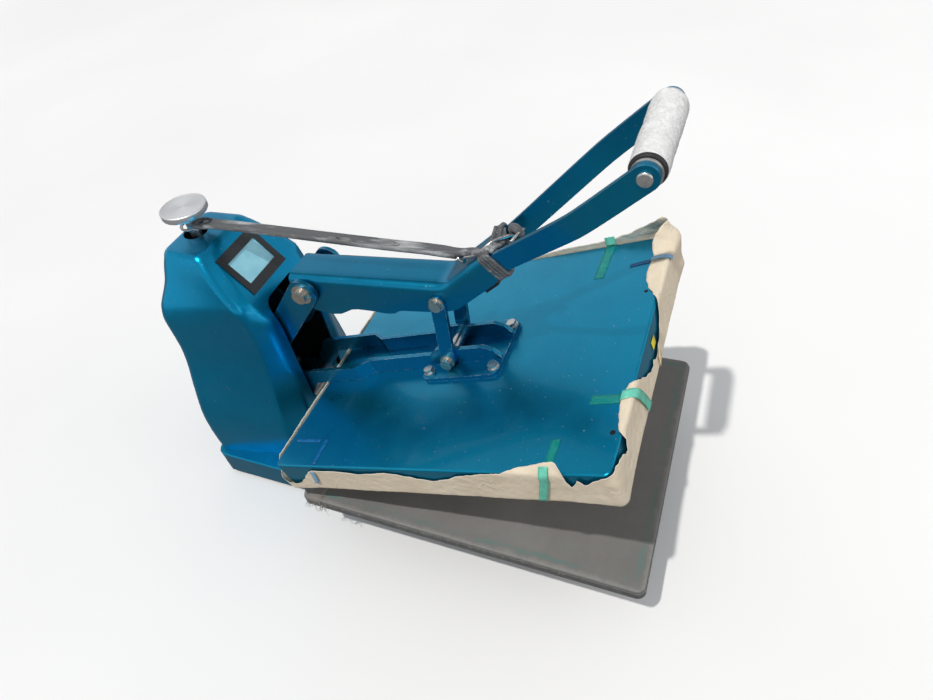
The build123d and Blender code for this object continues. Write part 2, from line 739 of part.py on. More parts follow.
NODES = {
    "rubber_feet": rubber_feet,
    "base_rail_right": base_rail_right,
    "base_rail_left": lambda: mirrored(base_rail_right()),
    "base_cross_front": base_cross_front,
    "base_cross_rear": base_cross_rear,
    "platen_supports": platen_supports,
    "support_plate": support_plate,
    "lower_platen": lower_platen,
    "platen_pad": platen_pad,
    "frame_plate_right": frame_plate_right,
    "frame_plate_left": lambda: mirrored(frame_plate_right()),
    "frame_tie_bars": frame_tie_bars,
    "platen_hinge_shaft": platen_hinge_shaft,
    "shaft_collars": shaft_collars,
    "yoke_pin": yoke_pin,
    "screw_bracket": screw_bracket,
    "plinth_cover": plinth_cover,
    "rear_housing": rear_housing,
    "display_bezel": display_bezel,
    "display_panel": display_panel,
    "power_inlet": power_inlet,
    "switch_body": switch_body,
    "switch_rocker": switch_rocker,
    "lift_springs": lift_springs,
    "pressure_knob": pressure_knob,
    "pressure_screw": pressure_screw,
    "yoke_plate_right": yoke_plate_right,
    "yoke_plate_left": lambda: mirrored(yoke_plate_right()),
    "yoke_spacer": yoke_spacer,
    "trunnion_nut": trunnion_nut,
    "lever_pivot_bolt": lever_pivot_bolt,
    "lever_top_plate": lever_top_plate,
    "lever_bar_right": lever_bar_right,
    "lever_bar_left": lambda: mirrored(lever_bar_right()),
    "lever_bush": lever_bush,
    "bump_stop": bump_stop,
    "grip_tube": grip_tube,
    "grip_foam": grip_foam,
    "grip_film": grip_film,
    "grip_screws": grip_screws,
    "strap_hook_rear": strap_hook_rear,
    "strap_span": strap_span,
    "strap_hook_front": strap_hook_front,
    "strap_wrap": strap_wrap,
    "link_right": link_right,
    "link_left": lambda: mirrored(link_right()),
    "link_top_bolts": link_top_bolts,
    "link_pin": link_pin,
    "heat_platen": heat_platen,
    "heating_element": heating_element,
    "insulation_blanket": insulation_blanket,
    "platen_cover": platen_cover,
    "bracket_plate": bracket_plate,
    "bracket_bolts": bracket_bolts,
    "platen_arm_right": platen_arm_right,
    "platen_arm_left": lambda: mirrored(platen_arm_right()),
    "ear_spacer": ear_spacer,
    "arm_hub": arm_hub,
    "spring_rod": spring_rod,
    "paper_wrap": paper_wrap,
}

os.makedirs("parts", exist_ok=True)
for name, make in NODES.items():
    export_step(make().moved(Location((0, -ORIGIN_Y, 0))), f"parts/{name}.step")
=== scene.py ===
import json
import math
import random

import bpy
from mathutils import Matrix, Vector, noise


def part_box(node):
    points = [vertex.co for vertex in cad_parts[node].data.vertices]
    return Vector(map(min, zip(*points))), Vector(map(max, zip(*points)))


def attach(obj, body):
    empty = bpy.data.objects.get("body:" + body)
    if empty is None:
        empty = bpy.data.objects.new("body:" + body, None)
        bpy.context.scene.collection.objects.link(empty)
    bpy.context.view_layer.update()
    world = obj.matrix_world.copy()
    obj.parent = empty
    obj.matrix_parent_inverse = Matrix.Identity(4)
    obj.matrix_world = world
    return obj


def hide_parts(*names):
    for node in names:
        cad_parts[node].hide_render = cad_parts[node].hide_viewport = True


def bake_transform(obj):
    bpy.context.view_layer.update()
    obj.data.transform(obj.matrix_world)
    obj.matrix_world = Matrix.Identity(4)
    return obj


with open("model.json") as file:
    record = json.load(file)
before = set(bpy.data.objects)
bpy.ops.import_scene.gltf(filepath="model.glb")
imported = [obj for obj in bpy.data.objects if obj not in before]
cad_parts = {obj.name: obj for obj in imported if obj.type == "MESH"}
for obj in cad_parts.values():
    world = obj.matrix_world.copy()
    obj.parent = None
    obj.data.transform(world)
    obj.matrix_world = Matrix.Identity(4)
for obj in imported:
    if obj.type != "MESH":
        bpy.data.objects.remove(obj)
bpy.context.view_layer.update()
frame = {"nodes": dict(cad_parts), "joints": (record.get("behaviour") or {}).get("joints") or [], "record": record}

# Shapes are drawn in millimetres, as in the CAD source: x to the operator's right, y = 0 at the middle
# of the lower platen with the operator at -y, z up from the table. row() takes them to the row frame.
MM = 0.001
JOINTS = {joint["name"]: joint for joint in frame["joints"]}
pad_low, pad_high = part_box("platen_pad")
MIDDLE = Vector(((pad_low.x + pad_high.x) / 2, (pad_low.y + pad_high.y) / 2, 0))
HINGE = Vector(JOINTS["platen_fold"]["pos_m"])
OPEN_DEG = JOINTS["platen_fold"]["range_deg"][1]
LIFT = Matrix.Rotation(math.radians(-OPEN_DEG), 4, "X")
OPEN = Matrix.Translation(HINGE) @ LIFT @ Matrix.Translation(-HINGE)


def row(x, y, z):
    """A drawing point in the row frame's metres."""
    return Vector((x, y, z)) * MM + MIDDLE


def drawn(point):
    """A row-frame point in drawing millimetres."""
    return (point - MIDDLE) / MM


# ---- camera and light ----
CAMERA_AT = (-564.8, -269.0, 918.4)
CAMERA_RIGHT = (0.35173, -0.92658, -0.13319)
CAMERA_DOWN = (-0.70291, -0.16746, -0.69129)
CAMERA_LENS = 25.112
SUN_TOWARDS = (-0.35, 0.17, 0.94)
SUN_POWER = 2.05
SUN_WIDTH_DEG = 1.4
# the sky by height: dim below, brightest just over the horizon, where the paint mirrors it
SKY_BELOW = (0.25, 0.25, 0.25, 1)
SKY_TOP = (0.42, 0.44, 0.47, 1)
SKY_STOPS = ((0.03, 0.40), (0.10, 0.98), (0.40, 0.86), (0.60, 0.58), (0.80, 0.46))
SKY_STRENGTH = 0.92
BACKDROP = (0.98, 0.99, 1.0, 1)


def make_camera():
    data = bpy.data.cameras.new("camera")
    data.lens = CAMERA_LENS
    data.sensor_width = 36.0
    data.clip_start = 0.05
    camera = bpy.data.objects.new("camera", data)
    right = Vector(CAMERA_RIGHT).normalized()
    up = -Vector(CAMERA_DOWN).normalized()
    back = right.cross(up)
    turn = Matrix((right, up, back)).transposed().to_4x4()
    camera.matrix_world = Matrix.Translation(row(*CAMERA_AT)) @ turn
    bpy.context.scene.collection.objects.link(camera)
    bpy.context.scene.camera = camera


def area_light(name, place, aim, size, power, colour):
    data = bpy.data.lights.new(name, "AREA")
    data.shape = "DISK"
    data.size = size
    data.energy = power
    data.color = colour
    light = bpy.data.objects.new(name, data)
    light.location = place
    light.rotation_euler = (Vector(aim) - Vector(place)).to_track_quat("-Z", "Y").to_euler()
    bpy.context.scene.collection.objects.link(light)


def make_light():
    """A pale sky by height, a sun and one wide fill."""
    world = bpy.data.worlds.new("studio")
    world.use_nodes = True
    tree = world.node_tree
    background = tree.nodes["Background"]
    place = tree.nodes.new("ShaderNodeTexCoord")
    parts = tree.nodes.new("ShaderNodeSeparateXYZ")
    tree.links.new(place.outputs["Generated"], parts.inputs[0])
    ramp = tree.nodes.new("ShaderNodeValToRGB")
    tree.links.new(parts.outputs["Z"], ramp.inputs["Fac"])
    stops = ramp.color_ramp.elements
    stops[0].position, stops[0].color = 0.0, SKY_BELOW
    stops[1].position, stops[1].color = 1.0, SKY_TOP
    for at, value in SKY_STOPS:
        stops.new(at).color = (value * 0.96, value * 0.98, value, 1)
    # what the camera sees behind the floor is plain and pale
    path = tree.nodes.new("ShaderNodeLightPath")
    backdrop = tree.nodes.new("ShaderNodeMix")
    backdrop.data_type = "RGBA"
    tree.links.new(path.outputs["Is Camera Ray"], backdrop.inputs[0])
    tree.links.new(ramp.outputs["Color"], backdrop.inputs[6])
    backdrop.inputs[7].default_value = BACKDROP
    tree.links.new(backdrop.outputs[2], background.inputs["Color"])
    background.inputs["Strength"].default_value = SKY_STRENGTH
    scene = bpy.context.scene
    scene.world = world
    lamp = bpy.data.lights.new("key", "SUN")
    lamp.energy = SUN_POWER
    lamp.angle = math.radians(SUN_WIDTH_DEG)
    lamp.color = (1.0, 0.98, 0.95)
    key = bpy.data.objects.new("key", lamp)
    key.rotation_euler = Vector(SUN_TOWARDS).to_track_quat("Z", "Y").to_euler()
    scene.collection.objects.link(key)
    area_light("fill", (0.3, -2.5, 1.6), (0, 0, 0.3), 1.8, 9, (1.0, 0.98, 0.96))
    scene.view_settings.view_transform = "Standard"
    scene.view_settings.look = "None"


# ---- materials ----
class Shader:
    """A material and short ways to add and join its nodes."""

    def __init__(self, name):
        self.material = bpy.data.materials.new(name)
        self.material.use_nodes = True
        self.tree = self.material.node_tree
        self.tree.nodes.clear()
        output = self.tree.nodes.new("ShaderNodeOutputMaterial")
        self.surface = self.tree.nodes.new("ShaderNodeBsdfPrincipled")
        self.tree.links.new(self.surface.outputs[0], output.inputs[0])
        self.place = self.tree.nodes.new("ShaderNodeTexCoord").outputs["Object"]

    def feed(self, socket, value):
        """Joins a node's output to a socket, or sets the socket to a number, vector or colour."""
        if isinstance(value, bpy.types.NodeSocket):
            self.tree.links.new(value, socket)
        elif isinstance(value, tuple):
            socket.default_value = (*value, 1.0)[:len(socket.default_value)]
        else:
            socket.default_value = value

    def node(self, kind, out, inputs, **settings):
        """Adds a node and gives one of its outputs."""
        node = self.tree.nodes.new(kind)
        for key, value in settings.items():
            setattr(node, key, value)
        for key, value in inputs.items():
            self.feed(node.inputs[key], value)
        return node.outputs[out]

    def set(self, **values):
        for key, value in values.items():
            self.surface.inputs[key.replace("_", " ")].default_value = value

    def stretched(self, x, y, z):
        return self.node("ShaderNodeMapping", "Vector", {"Scale": (x, y, z), "Vector": self.place})

    def noise(self, scale, detail=3.0, rough=0.5, place=None, twist=0.0):
        inputs = {"Scale": scale, "Detail": detail, "Roughness": rough, "Distortion": twist}
        inputs["Vector"] = place or self.place
        return self.node("ShaderNodeTexNoise", "Fac", inputs)

    def cells(self, scale, place=None, feature="F1", out="Color"):
        inputs = {"Scale": scale, "Vector": place or self.place}
        return self.node("ShaderNodeTexVoronoi", out, inputs, feature=feature)

    def wave(self, scale, direction, twist):
        inputs = {"Scale": scale, "Distortion": twist, "Vector": self.place}
        return self.node("ShaderNodeTexWave", "Fac", inputs, wave_type="BANDS", bands_direction=direction)

    def ramp(self, source, low, high, first=0.0, last=1.0):
        return self.node("ShaderNodeMapRange", "Result", {
            "Value": source, "From Min": low, "From Max": high, "To Min": first, "To Max": last})

    def mix(self, share, first, second):
        return self.node("ShaderNodeMix", 2, {0: share, 6: first, 7: second}, data_type="RGBA")

    def math(self, kind, first, second):
        return self.node("ShaderNodeMath", 0, {0: first, 1: second}, operation=kind)

    def times(self, first, second):
        return self.math("MULTIPLY", first, second)

    def bump(self, height, strength, distance, below=None):
        inputs = {"Strength": strength, "Distance": distance, "Height": height}
        if below is not None:
            inputs["Normal"] = below
        return self.node("ShaderNodeBump", "Normal", inputs)

    def edges(self, radius, amount):
        """1 on outer edges, broken up by noise, 0 on flat faces."""
        rounded = self.node("ShaderNodeBevel", "Normal", {"Radius": radius}, samples=5)
        flat = self.node("ShaderNodeNewGeometry", "Normal", {})
        dot = self.node("ShaderNodeVectorMath", "Value", {0: rounded, 1: flat}, operation="DOT_PRODUCT")
        rim = self.ramp(self.math("SUBTRACT", 1.0, dot), 0.004, 0.07)
        return self.times(rim, self.ramp(self.noise(110.0, 5.0, 0.75), 0.60 - amount, 0.74 - amount))

    def finish(self, colour, roughness, normal=None):
        for name, source in (("Base Color", colour), ("Roughness", roughness), ("Normal", normal)):
            if source is not None:
                self.feed(self.surface.inputs[name], source)
        return self.material


def paint(name, deep, light, dust=0.5, chips=0.0):
    """Metallic paint: fine flakes, a slow change of depth, rubbed streaks, dust and chipped edges."""
    s = Shader(name)
    broad = s.ramp(s.noise(4.0, 4.0, 0.55), 0.32, 0.68)
    base = s.mix(broad, deep, light)
    flake = s.ramp(s.cells(2600.0), 0.35, 1.0, 0.0, 0.22)
    base = s.mix(flake, base, tuple(min(1.0, c * 1.7 + 0.01) for c in light))
    streaks = s.ramp(s.noise(48.0, 6.0, 0.78, s.stretched(1.0, 0.10, 1.0)), 0.67, 0.74)
    specks = s.ramp(s.noise(330.0, 1.0, 0.3), 0.765, 0.80)
    haze = s.ramp(s.noise(11.0, 5.0, 0.7), 0.56, 0.76)
    worn = s.math("MAXIMUM", s.times(streaks, 0.07), s.times(specks, dust))
    worn = s.math("MAXIMUM", worn, s.times(haze, 0.035))
    base = s.mix(worn, base, (0.36, 0.46, 0.50))
    rough = s.ramp(s.noise(30.0, 4.0, 0.6), 0.3, 0.75, 0.27, 0.37)
    rough = s.math("ADD", rough, s.times(worn, 0.5))
    orange = s.bump(s.noise(210.0, 2.0), 0.03, 0.0005)
    if chips:
        bare = s.edges(0.0014, chips)
        base = s.mix(bare, base, (0.62, 0.70, 0.71))
        rough = s.math("MAXIMUM", rough, s.times(bare, 0.5))
    s.set(Metallic=0.90, Coat_Weight=0.15, Coat_Roughness=0.05, IOR=1.45)
    return s.finish(base, rough, orange)


def steel(name, colour, tint, low=0.22, high=0.5, grain=(1.0, 1.0, 1.0)):
    """Plated or bare metal with tarnish and fine marks."""
    s = Shader(name)
    stain = s.ramp(s.noise(130.0, 5.0, 0.65), 0.38, 0.68)
    fine = s.noise(900.0, 3.0, 0.6, s.stretched(*grain))
    base = s.mix(s.times(stain, 0.75), colour, tint)
    base = s.mix(s.ramp(fine, 0.45, 0.8, 0.0, 0.35), base, tuple(c * 0.6 for c in colour))
    rough = s.ramp(fine, 0.3, 0.75, low, high)
    normal = s.bump(fine, 0.18, 0.0003)
    s.set(Metallic=1.0)
    return s.finish(base, rough, normal)


def spun_metal(name, centre):
    """Turned aluminium: fine rings round a vertical axis and a faint radial painted highlight in the colour."""
    s = Shader(name)
    offset = tuple(-c for c in centre)
    place = s.node("ShaderNodeMapping", "Vector", {"Location": offset, "Vector": s.place})
    rings = s.node("ShaderNodeTexWave", "Fac", {"Scale": 420.0, "Distortion": 0.6, "Vector": place},
                   wave_type="RINGS", rings_direction="Z")
    radial = s.node("ShaderNodeTexGradient", "Fac", {"Vector": place}, gradient_type="RADIAL")
    # painted highlight: the colour is lighter and darker in sectors round the axis, standing in for the sheen of
    # turned metal
    painted_sheen = s.math("SINE", s.times(radial, 4 * math.pi), 0.0)
    base = s.mix(s.ramp(painted_sheen, -1.0, 1.0), (0.74, 0.75, 0.76), (0.90, 0.905, 0.91))
    base = s.mix(s.ramp(s.noise(300.0, 4.0, 0.7), 0.60, 0.82, 0.0, 0.25), base, (0.50, 0.50, 0.49))
    s.set(Metallic=1.0)
    return s.finish(base, s.ramp(rings, 0.0, 1.0, 0.36, 0.5), s.bump(rings, 0.12, 0.0002))


def rubber(name, dark, light, grain=260.0, dust=0.35, stretch=(1.0, 1.0, 1.0)):
    """Dark rubber or foam with worn, dusty patches."""
    s = Shader(name)
    worn = s.ramp(s.noise(60.0, 5.0, 0.65, s.stretched(*stretch), 0.3), 0.50, 0.72)
    grit = s.noise(grain, 5.0, 0.7)
    base = s.mix(s.times(worn, dust), dark, light)
    base = s.mix(s.ramp(grit, 0.5, 0.85, 0.0, 0.4), base, tuple(c * 0.5 for c in dark))
    rough = s.ramp(grit, 0.3, 0.8, 0.45, 0.8)
    normal = s.bump(grit, 0.2, 0.0004)
    s.set(IOR=1.45)
    return s.finish(base, rough, normal)


def moulded(name, colour, low=0.35, high=0.55):
    """Moulded plastic and other plain matt things: fine grain and a slight cloud."""
    s = Shader(name)
    grain = s.noise(1400.0, 2.0, 0.5)
    cloud = s.ramp(s.noise(45.0, 4.0, 0.6), 0.35, 0.7)
    base = s.mix(s.times(cloud, 0.35), colour, tuple(c * 1.5 + 0.01 for c in colour))
    s.set(IOR=1.48)
    return s.finish(base, s.ramp(grain, 0.3, 0.7, low, high), s.bump(grain, 0.25, 0.0002))


def woven(name):
    """Grey glass cloth: fine warp and weft, a pale rubbed border with a greenish line inside it."""
    s = Shader(name)
    warp = s.wave(260.0, "X", 0.6)
    weft = s.wave(260.0, "Y", 0.6)
    weave = s.times(warp, weft)
    blotch = s.ramp(s.noise(9.0, 6.0, 0.62), 0.35, 0.68)
    base = s.mix(blotch, (0.145, 0.140, 0.132), (0.185, 0.180, 0.172))
    base = s.mix(s.ramp(weave, 0.1, 0.8, 0.0, 0.3), base, (0.25, 0.25, 0.24))
    middle = (pad_low + pad_high) / 2
    half = (pad_high - pad_low) / 2
    gaps = []
    for k, axis in enumerate("XY"):
        spot = s.node("ShaderNodeSeparateXYZ", axis, {0: s.place})
        gaps.append(s.math("SUBTRACT", half[k], s.math("ABSOLUTE", s.math("SUBTRACT", spot, middle[k]), 0.0)))
    gap = s.math("MINIMUM", gaps[0], gaps[1])
    ragged = s.times(s.math("SUBTRACT", s.noise(45.0, 5.0, 0.7), 0.5), 0.022)
    gap = s.math("ADD", gap, ragged)
    line = s.times(s.ramp(gap, 0.007, 0.010), s.ramp(gap, 0.013, 0.019, 1.0, 0.0))
    patchy = s.ramp(s.noise(14.0, 3.0, 0.6), 0.40, 0.62)
    base = s.mix(s.times(s.times(line, patchy), 0.5), base, (0.06, 0.19, 0.17))
    border = s.ramp(gap, 0.002, 0.007, 1.0, 0.0)
    base = s.mix(s.times(border, 0.35), base, (0.30, 0.30, 0.29))
    rub = s.ramp(s.noise(26.0, 5.0, 0.7, s.stretched(1.0, 0.35, 1.0)), 0.58, 0.72)
    base = s.mix(s.times(rub, 0.16), base, (0.10, 0.22, 0.20))
    scuff = s.ramp(s.noise(70.0, 6.0, 0.8, s.stretched(0.3, 1.4, 1.0)), 0.69, 0.73)
    base = s.mix(s.times(scuff, 0.4), base, (0.42, 0.42, 0.41))
    rough = s.ramp(s.noise(120.0, 4.0, 0.6), 0.3, 0.7, 0.6, 0.8)
    normal = s.bump(weave, 0.45, 0.0004, s.bump(s.noise(30.0, 4.0), 0.3, 0.002))
    return s.finish(base, rough, normal)


def paper(name):
    """Kraft paper: pulp flecks, soft creases."""
    s = Shader(name)
    cloud = s.ramp(s.noise(14.0, 6.0, 0.6), 0.3, 0.7)
    base = s.mix(cloud, (0.71, 0.60, 0.45), (0.81, 0.71, 0.56))
    fleck = s.ramp(s.noise(520.0, 3.0, 0.7, s.stretched(1.0, 0.35, 1.0)), 0.6, 0.8, 0.0, 0.35)
    base = s.mix(fleck, base, (0.42, 0.33, 0.24))
    crease = s.cells(34.0, s.stretched(1.0, 0.7, 1.6), "DISTANCE_TO_EDGE", "Distance")
    line = s.ramp(crease, 0.0, 0.03, 1.0, 0.0)
    broken = s.times(line, s.ramp(s.noise(22.0, 3.0), 0.5, 0.62))
    base = s.mix(s.times(broken, 0.35), base, (0.80, 0.74, 0.64))
    soft = s.bump(s.noise(46.0, 5.0, 0.6), 0.55, 0.004)
    normal = s.bump(broken, 0.5, 0.0012, s.bump(s.noise(600.0, 3.0), 0.12, 0.0004, soft))
    s.set(IOR=1.4)
    return s.finish(base, s.ramp(s.noise(200.0, 3.0), 0.3, 0.7, 0.58, 0.8), normal)


def film(name, colour, alpha, low=0.12, high=0.35, wrinkle=60.0, strength=0.8):
    """Thin see-through film with wrinkles."""
    s = Shader(name)
    folds = s.noise(wrinkle, 6.0, 0.7, None, 1.2)
    base = s.mix(s.ramp(folds, 0.35, 0.75), colour, tuple(min(1.0, c * 1.25 + 0.02) for c in colour))
    s.feed(s.surface.inputs["Alpha"], s.ramp(folds, 0.3, 0.75, alpha, min(1.0, alpha + 0.25)))
    s.set(IOR=1.45)
    return s.finish(base, s.ramp(folds, 0.3, 0.7, low, high), s.bump(folds, strength, 0.002))


def display(name):
    """Pale lit panel, slightly cloudy."""
    s = Shader(name)
    cloud = s.noise(40.0, 3.0, 0.5)
    base = s.mix(s.ramp(cloud, 0.35, 0.65), (0.20, 0.50, 0.62), (0.27, 0.60, 0.72))
    s.feed(s.surface.inputs["Emission Color"], base)
    s.set(Emission_Strength=0.12, Coat_Weight=0.6, Coat_Roughness=0.08)
    return s.finish(base, s.ramp(s.noise(700.0, 2.0), 0.3, 0.7, 0.18, 0.3))


def blanket(name):
    """Fibrous insulation."""
    s = Shader(name)
    fibre = s.noise(240.0, 8.0, 0.8, s.stretched(1.0, 0.3, 1.0), 2.0)
    base = s.mix(s.ramp(fibre, 0.3, 0.75), (0.62, 0.60, 0.50), (0.86, 0.85, 0.80))
    return s.finish(base, s.ramp(fibre, 0.2, 0.8, 0.75, 0.95), s.bump(fibre, 0.7, 0.002))


def floor_material():
    s = Shader("floor")
    cloud = s.ramp(s.noise(1.2, 3.0, 0.5), 0.3, 0.7)
    base = s.mix(cloud, (0.80, 0.80, 0.80), (0.84, 0.84, 0.84))
    return s.finish(base, s.ramp(s.noise(6.0, 3.0), 0.3, 0.7, 0.75, 0.9))


knob_low, knob_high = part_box("pressure_knob")
TEAL_DEEP = (0.0, 0.185, 0.345)
TEAL_LIGHT = (0.0, 0.25, 0.435)
# the function that makes each material, its name and what the function takes
LOOKS = [
    (paint, "teal_paint", TEAL_DEEP, TEAL_LIGHT),
    (paint, "teal_cover", (0.0, 0.22, 0.385), (0.001, 0.285, 0.475), 0.7),
    (steel, "dark_steel", (0.03, 0.035, 0.04), (0.05, 0.05, 0.05), 0.4, 0.65),
    (steel, "zinc_steel", (0.70, 0.70, 0.69), (0.48, 0.47, 0.45)),
    (steel, "warm_washer", (0.66, 0.62, 0.56), (0.46, 0.39, 0.31)),
    (steel, "bright_steel", (0.66, 0.67, 0.68), (0.45, 0.45, 0.45), 0.12, 0.3),
    (steel, "spring_steel", (0.32, 0.32, 0.33), (0.18, 0.15, 0.12), 0.3, 0.5),
    (spun_metal, "knob_aluminium", tuple((knob_low + knob_high) / 2)),
    (steel, "platen_aluminium", (0.58, 0.59, 0.60), (0.45, 0.45, 0.45), 0.3, 0.5),
    (steel, "lower_aluminium", (0.34, 0.345, 0.34), (0.20, 0.20, 0.19), 0.4, 0.65),
    (woven, "pad_cloth"),
    (rubber, "black_rubber", (0.018, 0.018, 0.02), (0.09, 0.09, 0.09)),
    (moulded, "bezel_plastic", (0.014, 0.018, 0.021), 0.18, 0.32),
    (display, "display_face"),
    (moulded, "black_plastic", (0.015, 0.015, 0.017)),
    (moulded, "rocker_plastic", (0.02, 0.02, 0.022), 0.15, 0.3),
    (rubber, "foam", (0.022, 0.022, 0.024), (0.07, 0.07, 0.07), 600.0),
    (film, "film", (0.86, 0.86, 0.85), 0.80, 0.12, 0.4, 150.0),
    (rubber, "strap_rubber", (0.10, 0.104, 0.11), (0.62, 0.64, 0.65), 420.0, 0.85, (1.0, 0.16, 1.0)),
    (steel, "wire", (0.50, 0.51, 0.52), (0.30, 0.28, 0.26), 0.2, 0.4),
    (blanket, "insulation"),
    (paper, "kraft_paper"),
    (steel, "element", (0.20, 0.19, 0.18), (0.14, 0.09, 0.06), 0.4, 0.6),
    # housing only: the teal paint made lighter, painted light for the light the housing catches
    (paint, "housing_paint", (0.0, 0.205, 0.40), (0.0, 0.29, 0.52)),
    (paint, "worn_paint", TEAL_DEEP, TEAL_LIGHT, 0.6, 0.14),
    (film, "green_tape", (0.14, 0.56, 0.42), 0.80, 0.15, 0.3, 40.0, 0.2),
    (film, "blue_tape", (0.22, 0.42, 0.62), 0.82, 0.3, 0.45, 40.0, 0.2),
    (film, "green_film", (0.0, 0.30, 0.26), 0.40, 0.15, 0.3, 40.0, 0.2),
    (film, "blue_film", (0.0, 0.13, 0.36), 0.55, 0.2, 0.35, 40.0, 0.2),
    (moulded, "yellow_tag", (0.80, 0.66, 0.05), 0.4, 0.6),
    (moulded, "torn_paper", (0.74, 0.73, 0.70), 0.7, 0.9),
    # near-black matt for the inside of the housing shell: painted shade, as the inside is dark from shading
    (moulded, "dark_inside", (0.006, 0.008, 0.01), 0.6, 0.8),
    (film, "tan_tape", (0.80, 0.62, 0.36), 0.8, 0.2, 0.35, 40.0, 0.2),
    (rubber, "patch_cloth", (0.20, 0.185, 0.17), (0.34, 0.33, 0.31), 500.0, 0.6),
    (moulded, "thread", (0.42, 0.41, 0.38), 0.7, 0.9),
]
MATERIALS = {name: make(name, *look) for make, name, *look in LOOKS}
WORN_NODES = ("link_left", "link_right", "bracket_plate", "platen_arm_left", "platen_arm_right",
              "yoke_plate_left", "yoke_plate_right")


# ---- mesh helpers ----
def make_piece(name, points, faces, material, body, slot=None, turn=None, edge=None):
    """A mesh piece from drawing millimetres that rides on a body. turn moves closed shapes open."""
    mesh = bpy.data.meshes.new(name)
    place = turn or Matrix.Identity(4)
    mesh.from_pydata([place @ row(*p) for p in points], [], faces)
    mesh.validate()
    mesh.update()
    made = bpy.data.objects.new(name, mesh)
    bpy.context.scene.collection.objects.link(made)
    for item in material if isinstance(material, list) else [material]:
        mesh.materials.append(item)
    for polygon in mesh.polygons:
        polygon.use_smooth = True
    if edge:
        soften(made, edge)
    if body:
        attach(made, body)
    return made


def soften(made, width, segments=3, angle=32.0):
    """Rounds the sharp edges of a piece and smooths what is between them."""
    bevel = made.modifiers.new("edges", "BEVEL")
    bevel.width = width * MM
    bevel.segments = segments
    bevel.limit_method = "ANGLE"
    bevel.angle_limit = math.radians(angle)
    bevel.harden_normals = True


def grid_faces(rows, columns, wrap=False, loop=False):
    """Quads between rows of equal length; wrap closes each row, loop joins the last row to the first."""
    faces = []
    for r in range(rows if loop else rows - 1):
        s = (r + 1) % rows
        for c in range(columns if wrap else columns - 1):
            d = (c + 1) % columns
            faces.append((r * columns + c, r * columns + d, s * columns + d, s * columns + c))
    return faces


def end_caps(rows, columns):
    """The two faces that close a wrapped grid at its first and its last row."""
    last = (rows - 1) * columns
    return [tuple(range(columns - 1, -1, -1)), tuple(range(last, last + columns))]


def smooth_line(points, per_span=8, closed=False):
    """Catmull-Rom curve through points."""
    pts = [Vector(p) for p in points]
    count = len(pts)
    out = []
    spans = count if closed else count - 1
    for i in range(spans):
        p0 = pts[(i - 1) % count] if closed or i > 0 else pts[0] * 2 - pts[1]
        p1 = pts[i]
        p2 = pts[(i + 1) % count]
        p3 = pts[(i + 2) % count] if closed or i + 2 < count else pts[-1] * 2 - pts[-2]
        for k in range(per_span):
            t = k / per_span
            a = 2 * p1
            b = (p2 - p0) * t
            c = (2 * p0 - 5 * p1 + 4 * p2 - p3) * t * t
            d = (3 * p1 - p0 - 3 * p2 + p3) * t ** 3
            out.append((a + b + c + d) / 2)
    if not closed:
        out.append(pts[-1])
    return out


def sweep(line, section, normal, closed=False, widen=None):
    """Points and faces of a section (u, v) carried along a line; v starts along normal."""
    count = len(line)
    points = []
    v_axis = Vector(normal).normalized()
    for i, here in enumerate(line):
        before = line[(i - 1) % count] if closed or i > 0 else line[0]
        after = line[(i + 1) % count] if closed or i < count - 1 else line[-1]
        along = (after - before).normalized()
        v_axis = (v_axis - along * v_axis.dot(along)).normalized()
        u_axis = along.cross(v_axis).normalized()
        grow = widen(i / max(1, count - 1)) if widen else (1.0, 1.0)
        for u, v in section:
            points.append(here + u_axis * u * grow[0] + v_axis * v * grow[1])
    faces = grid_faces(count, len(section), wrap=True, loop=closed)
    return points, faces if closed else faces + end_caps(count, len(section))


def circle(radius, count=12):
    return [(radius * math.cos(2 * math.pi * k / count), radius * math.sin(2 * math.pi * k / count))
            for k in range(count)]


def merge(*shapes):
    """One list of points and faces from several."""
    points, faces = [], []
    for shape_points, shape_faces in shapes:
        base = len(points)
        points.extend(shape_points)
        faces.extend(tuple(base + i for i in face) for face in shape_faces)
    return points, faces


def turned(profile, count=48, place=None):
    """Solid of revolution of (radius, height) pairs about z, moved by place."""
    place = place or Matrix.Identity(4)
    points = [place @ Vector((u, v, height)) for radius, height in profile for u, v in circle(radius, count)]
    return points, grid_faces(len(profile), count, wrap=True) + end_caps(len(profile), count)


# ---- rear housing ----
# height, half width and y of the front face, of the side ridges and of the rear
HOUSING_PLAN = [
    (55.0, 70.0, 310.6, 111.0, 335.0, 137.0, 481.0),
    (85.0, 70.0, 310.6, 111.0, 335.0, 137.2, 482.0),
    (110.0, 70.0, 310.6, 110.0, 335.0, 137.0, 482.0),
    (145.0, 66.0, 310.6, 105.5, 335.0, 134.0, 482.0),
    (198.0, 63.0, 310.6, 96.0, 335.0, 122.0, 480.0),
    (240.0, 62.0, 310.6, 87.5, 335.0, 111.0, 478.0),
    (270.0, 62.0, 310.6, 83.2, 335.0, 107.0, 476.0),
    (290.0, 62.0, 310.6, 82.0, 335.0, 106.0, 475.5),
    (303.0, 62.0, 311.2, 81.7, 335.0, 105.6, 475.7),
    (315.0, 61.9, 313.2, 81.6, 335.2, 105.2, 476.0),
    (325.0, 61.6, 317.2, 81.8, 335.7, 104.6, 476.4),
    (335.0, 60.8, 323.4, 82.0, 336.7, 103.0, 476.5),
    (344.0, 58.8, 329.9, 82.0, 338.0, 99.6, 476.0),
    (353.0, 56.0, 337.1, 82.0, 339.5, 95.0, 475.0),
    (380.0, 50.0, 359.5, 74.0, 362.5, 76.0, 467.0),
    (400.0, 43.5, 376.1, 65.5, 379.4, 63.6, 466.2),
    (414.0, 37.0, 387.8, 57.5, 391.8, 55.0, 464.4),
]
HOUSING_LOW = 55.0
HOUSING_TOP = 420.0
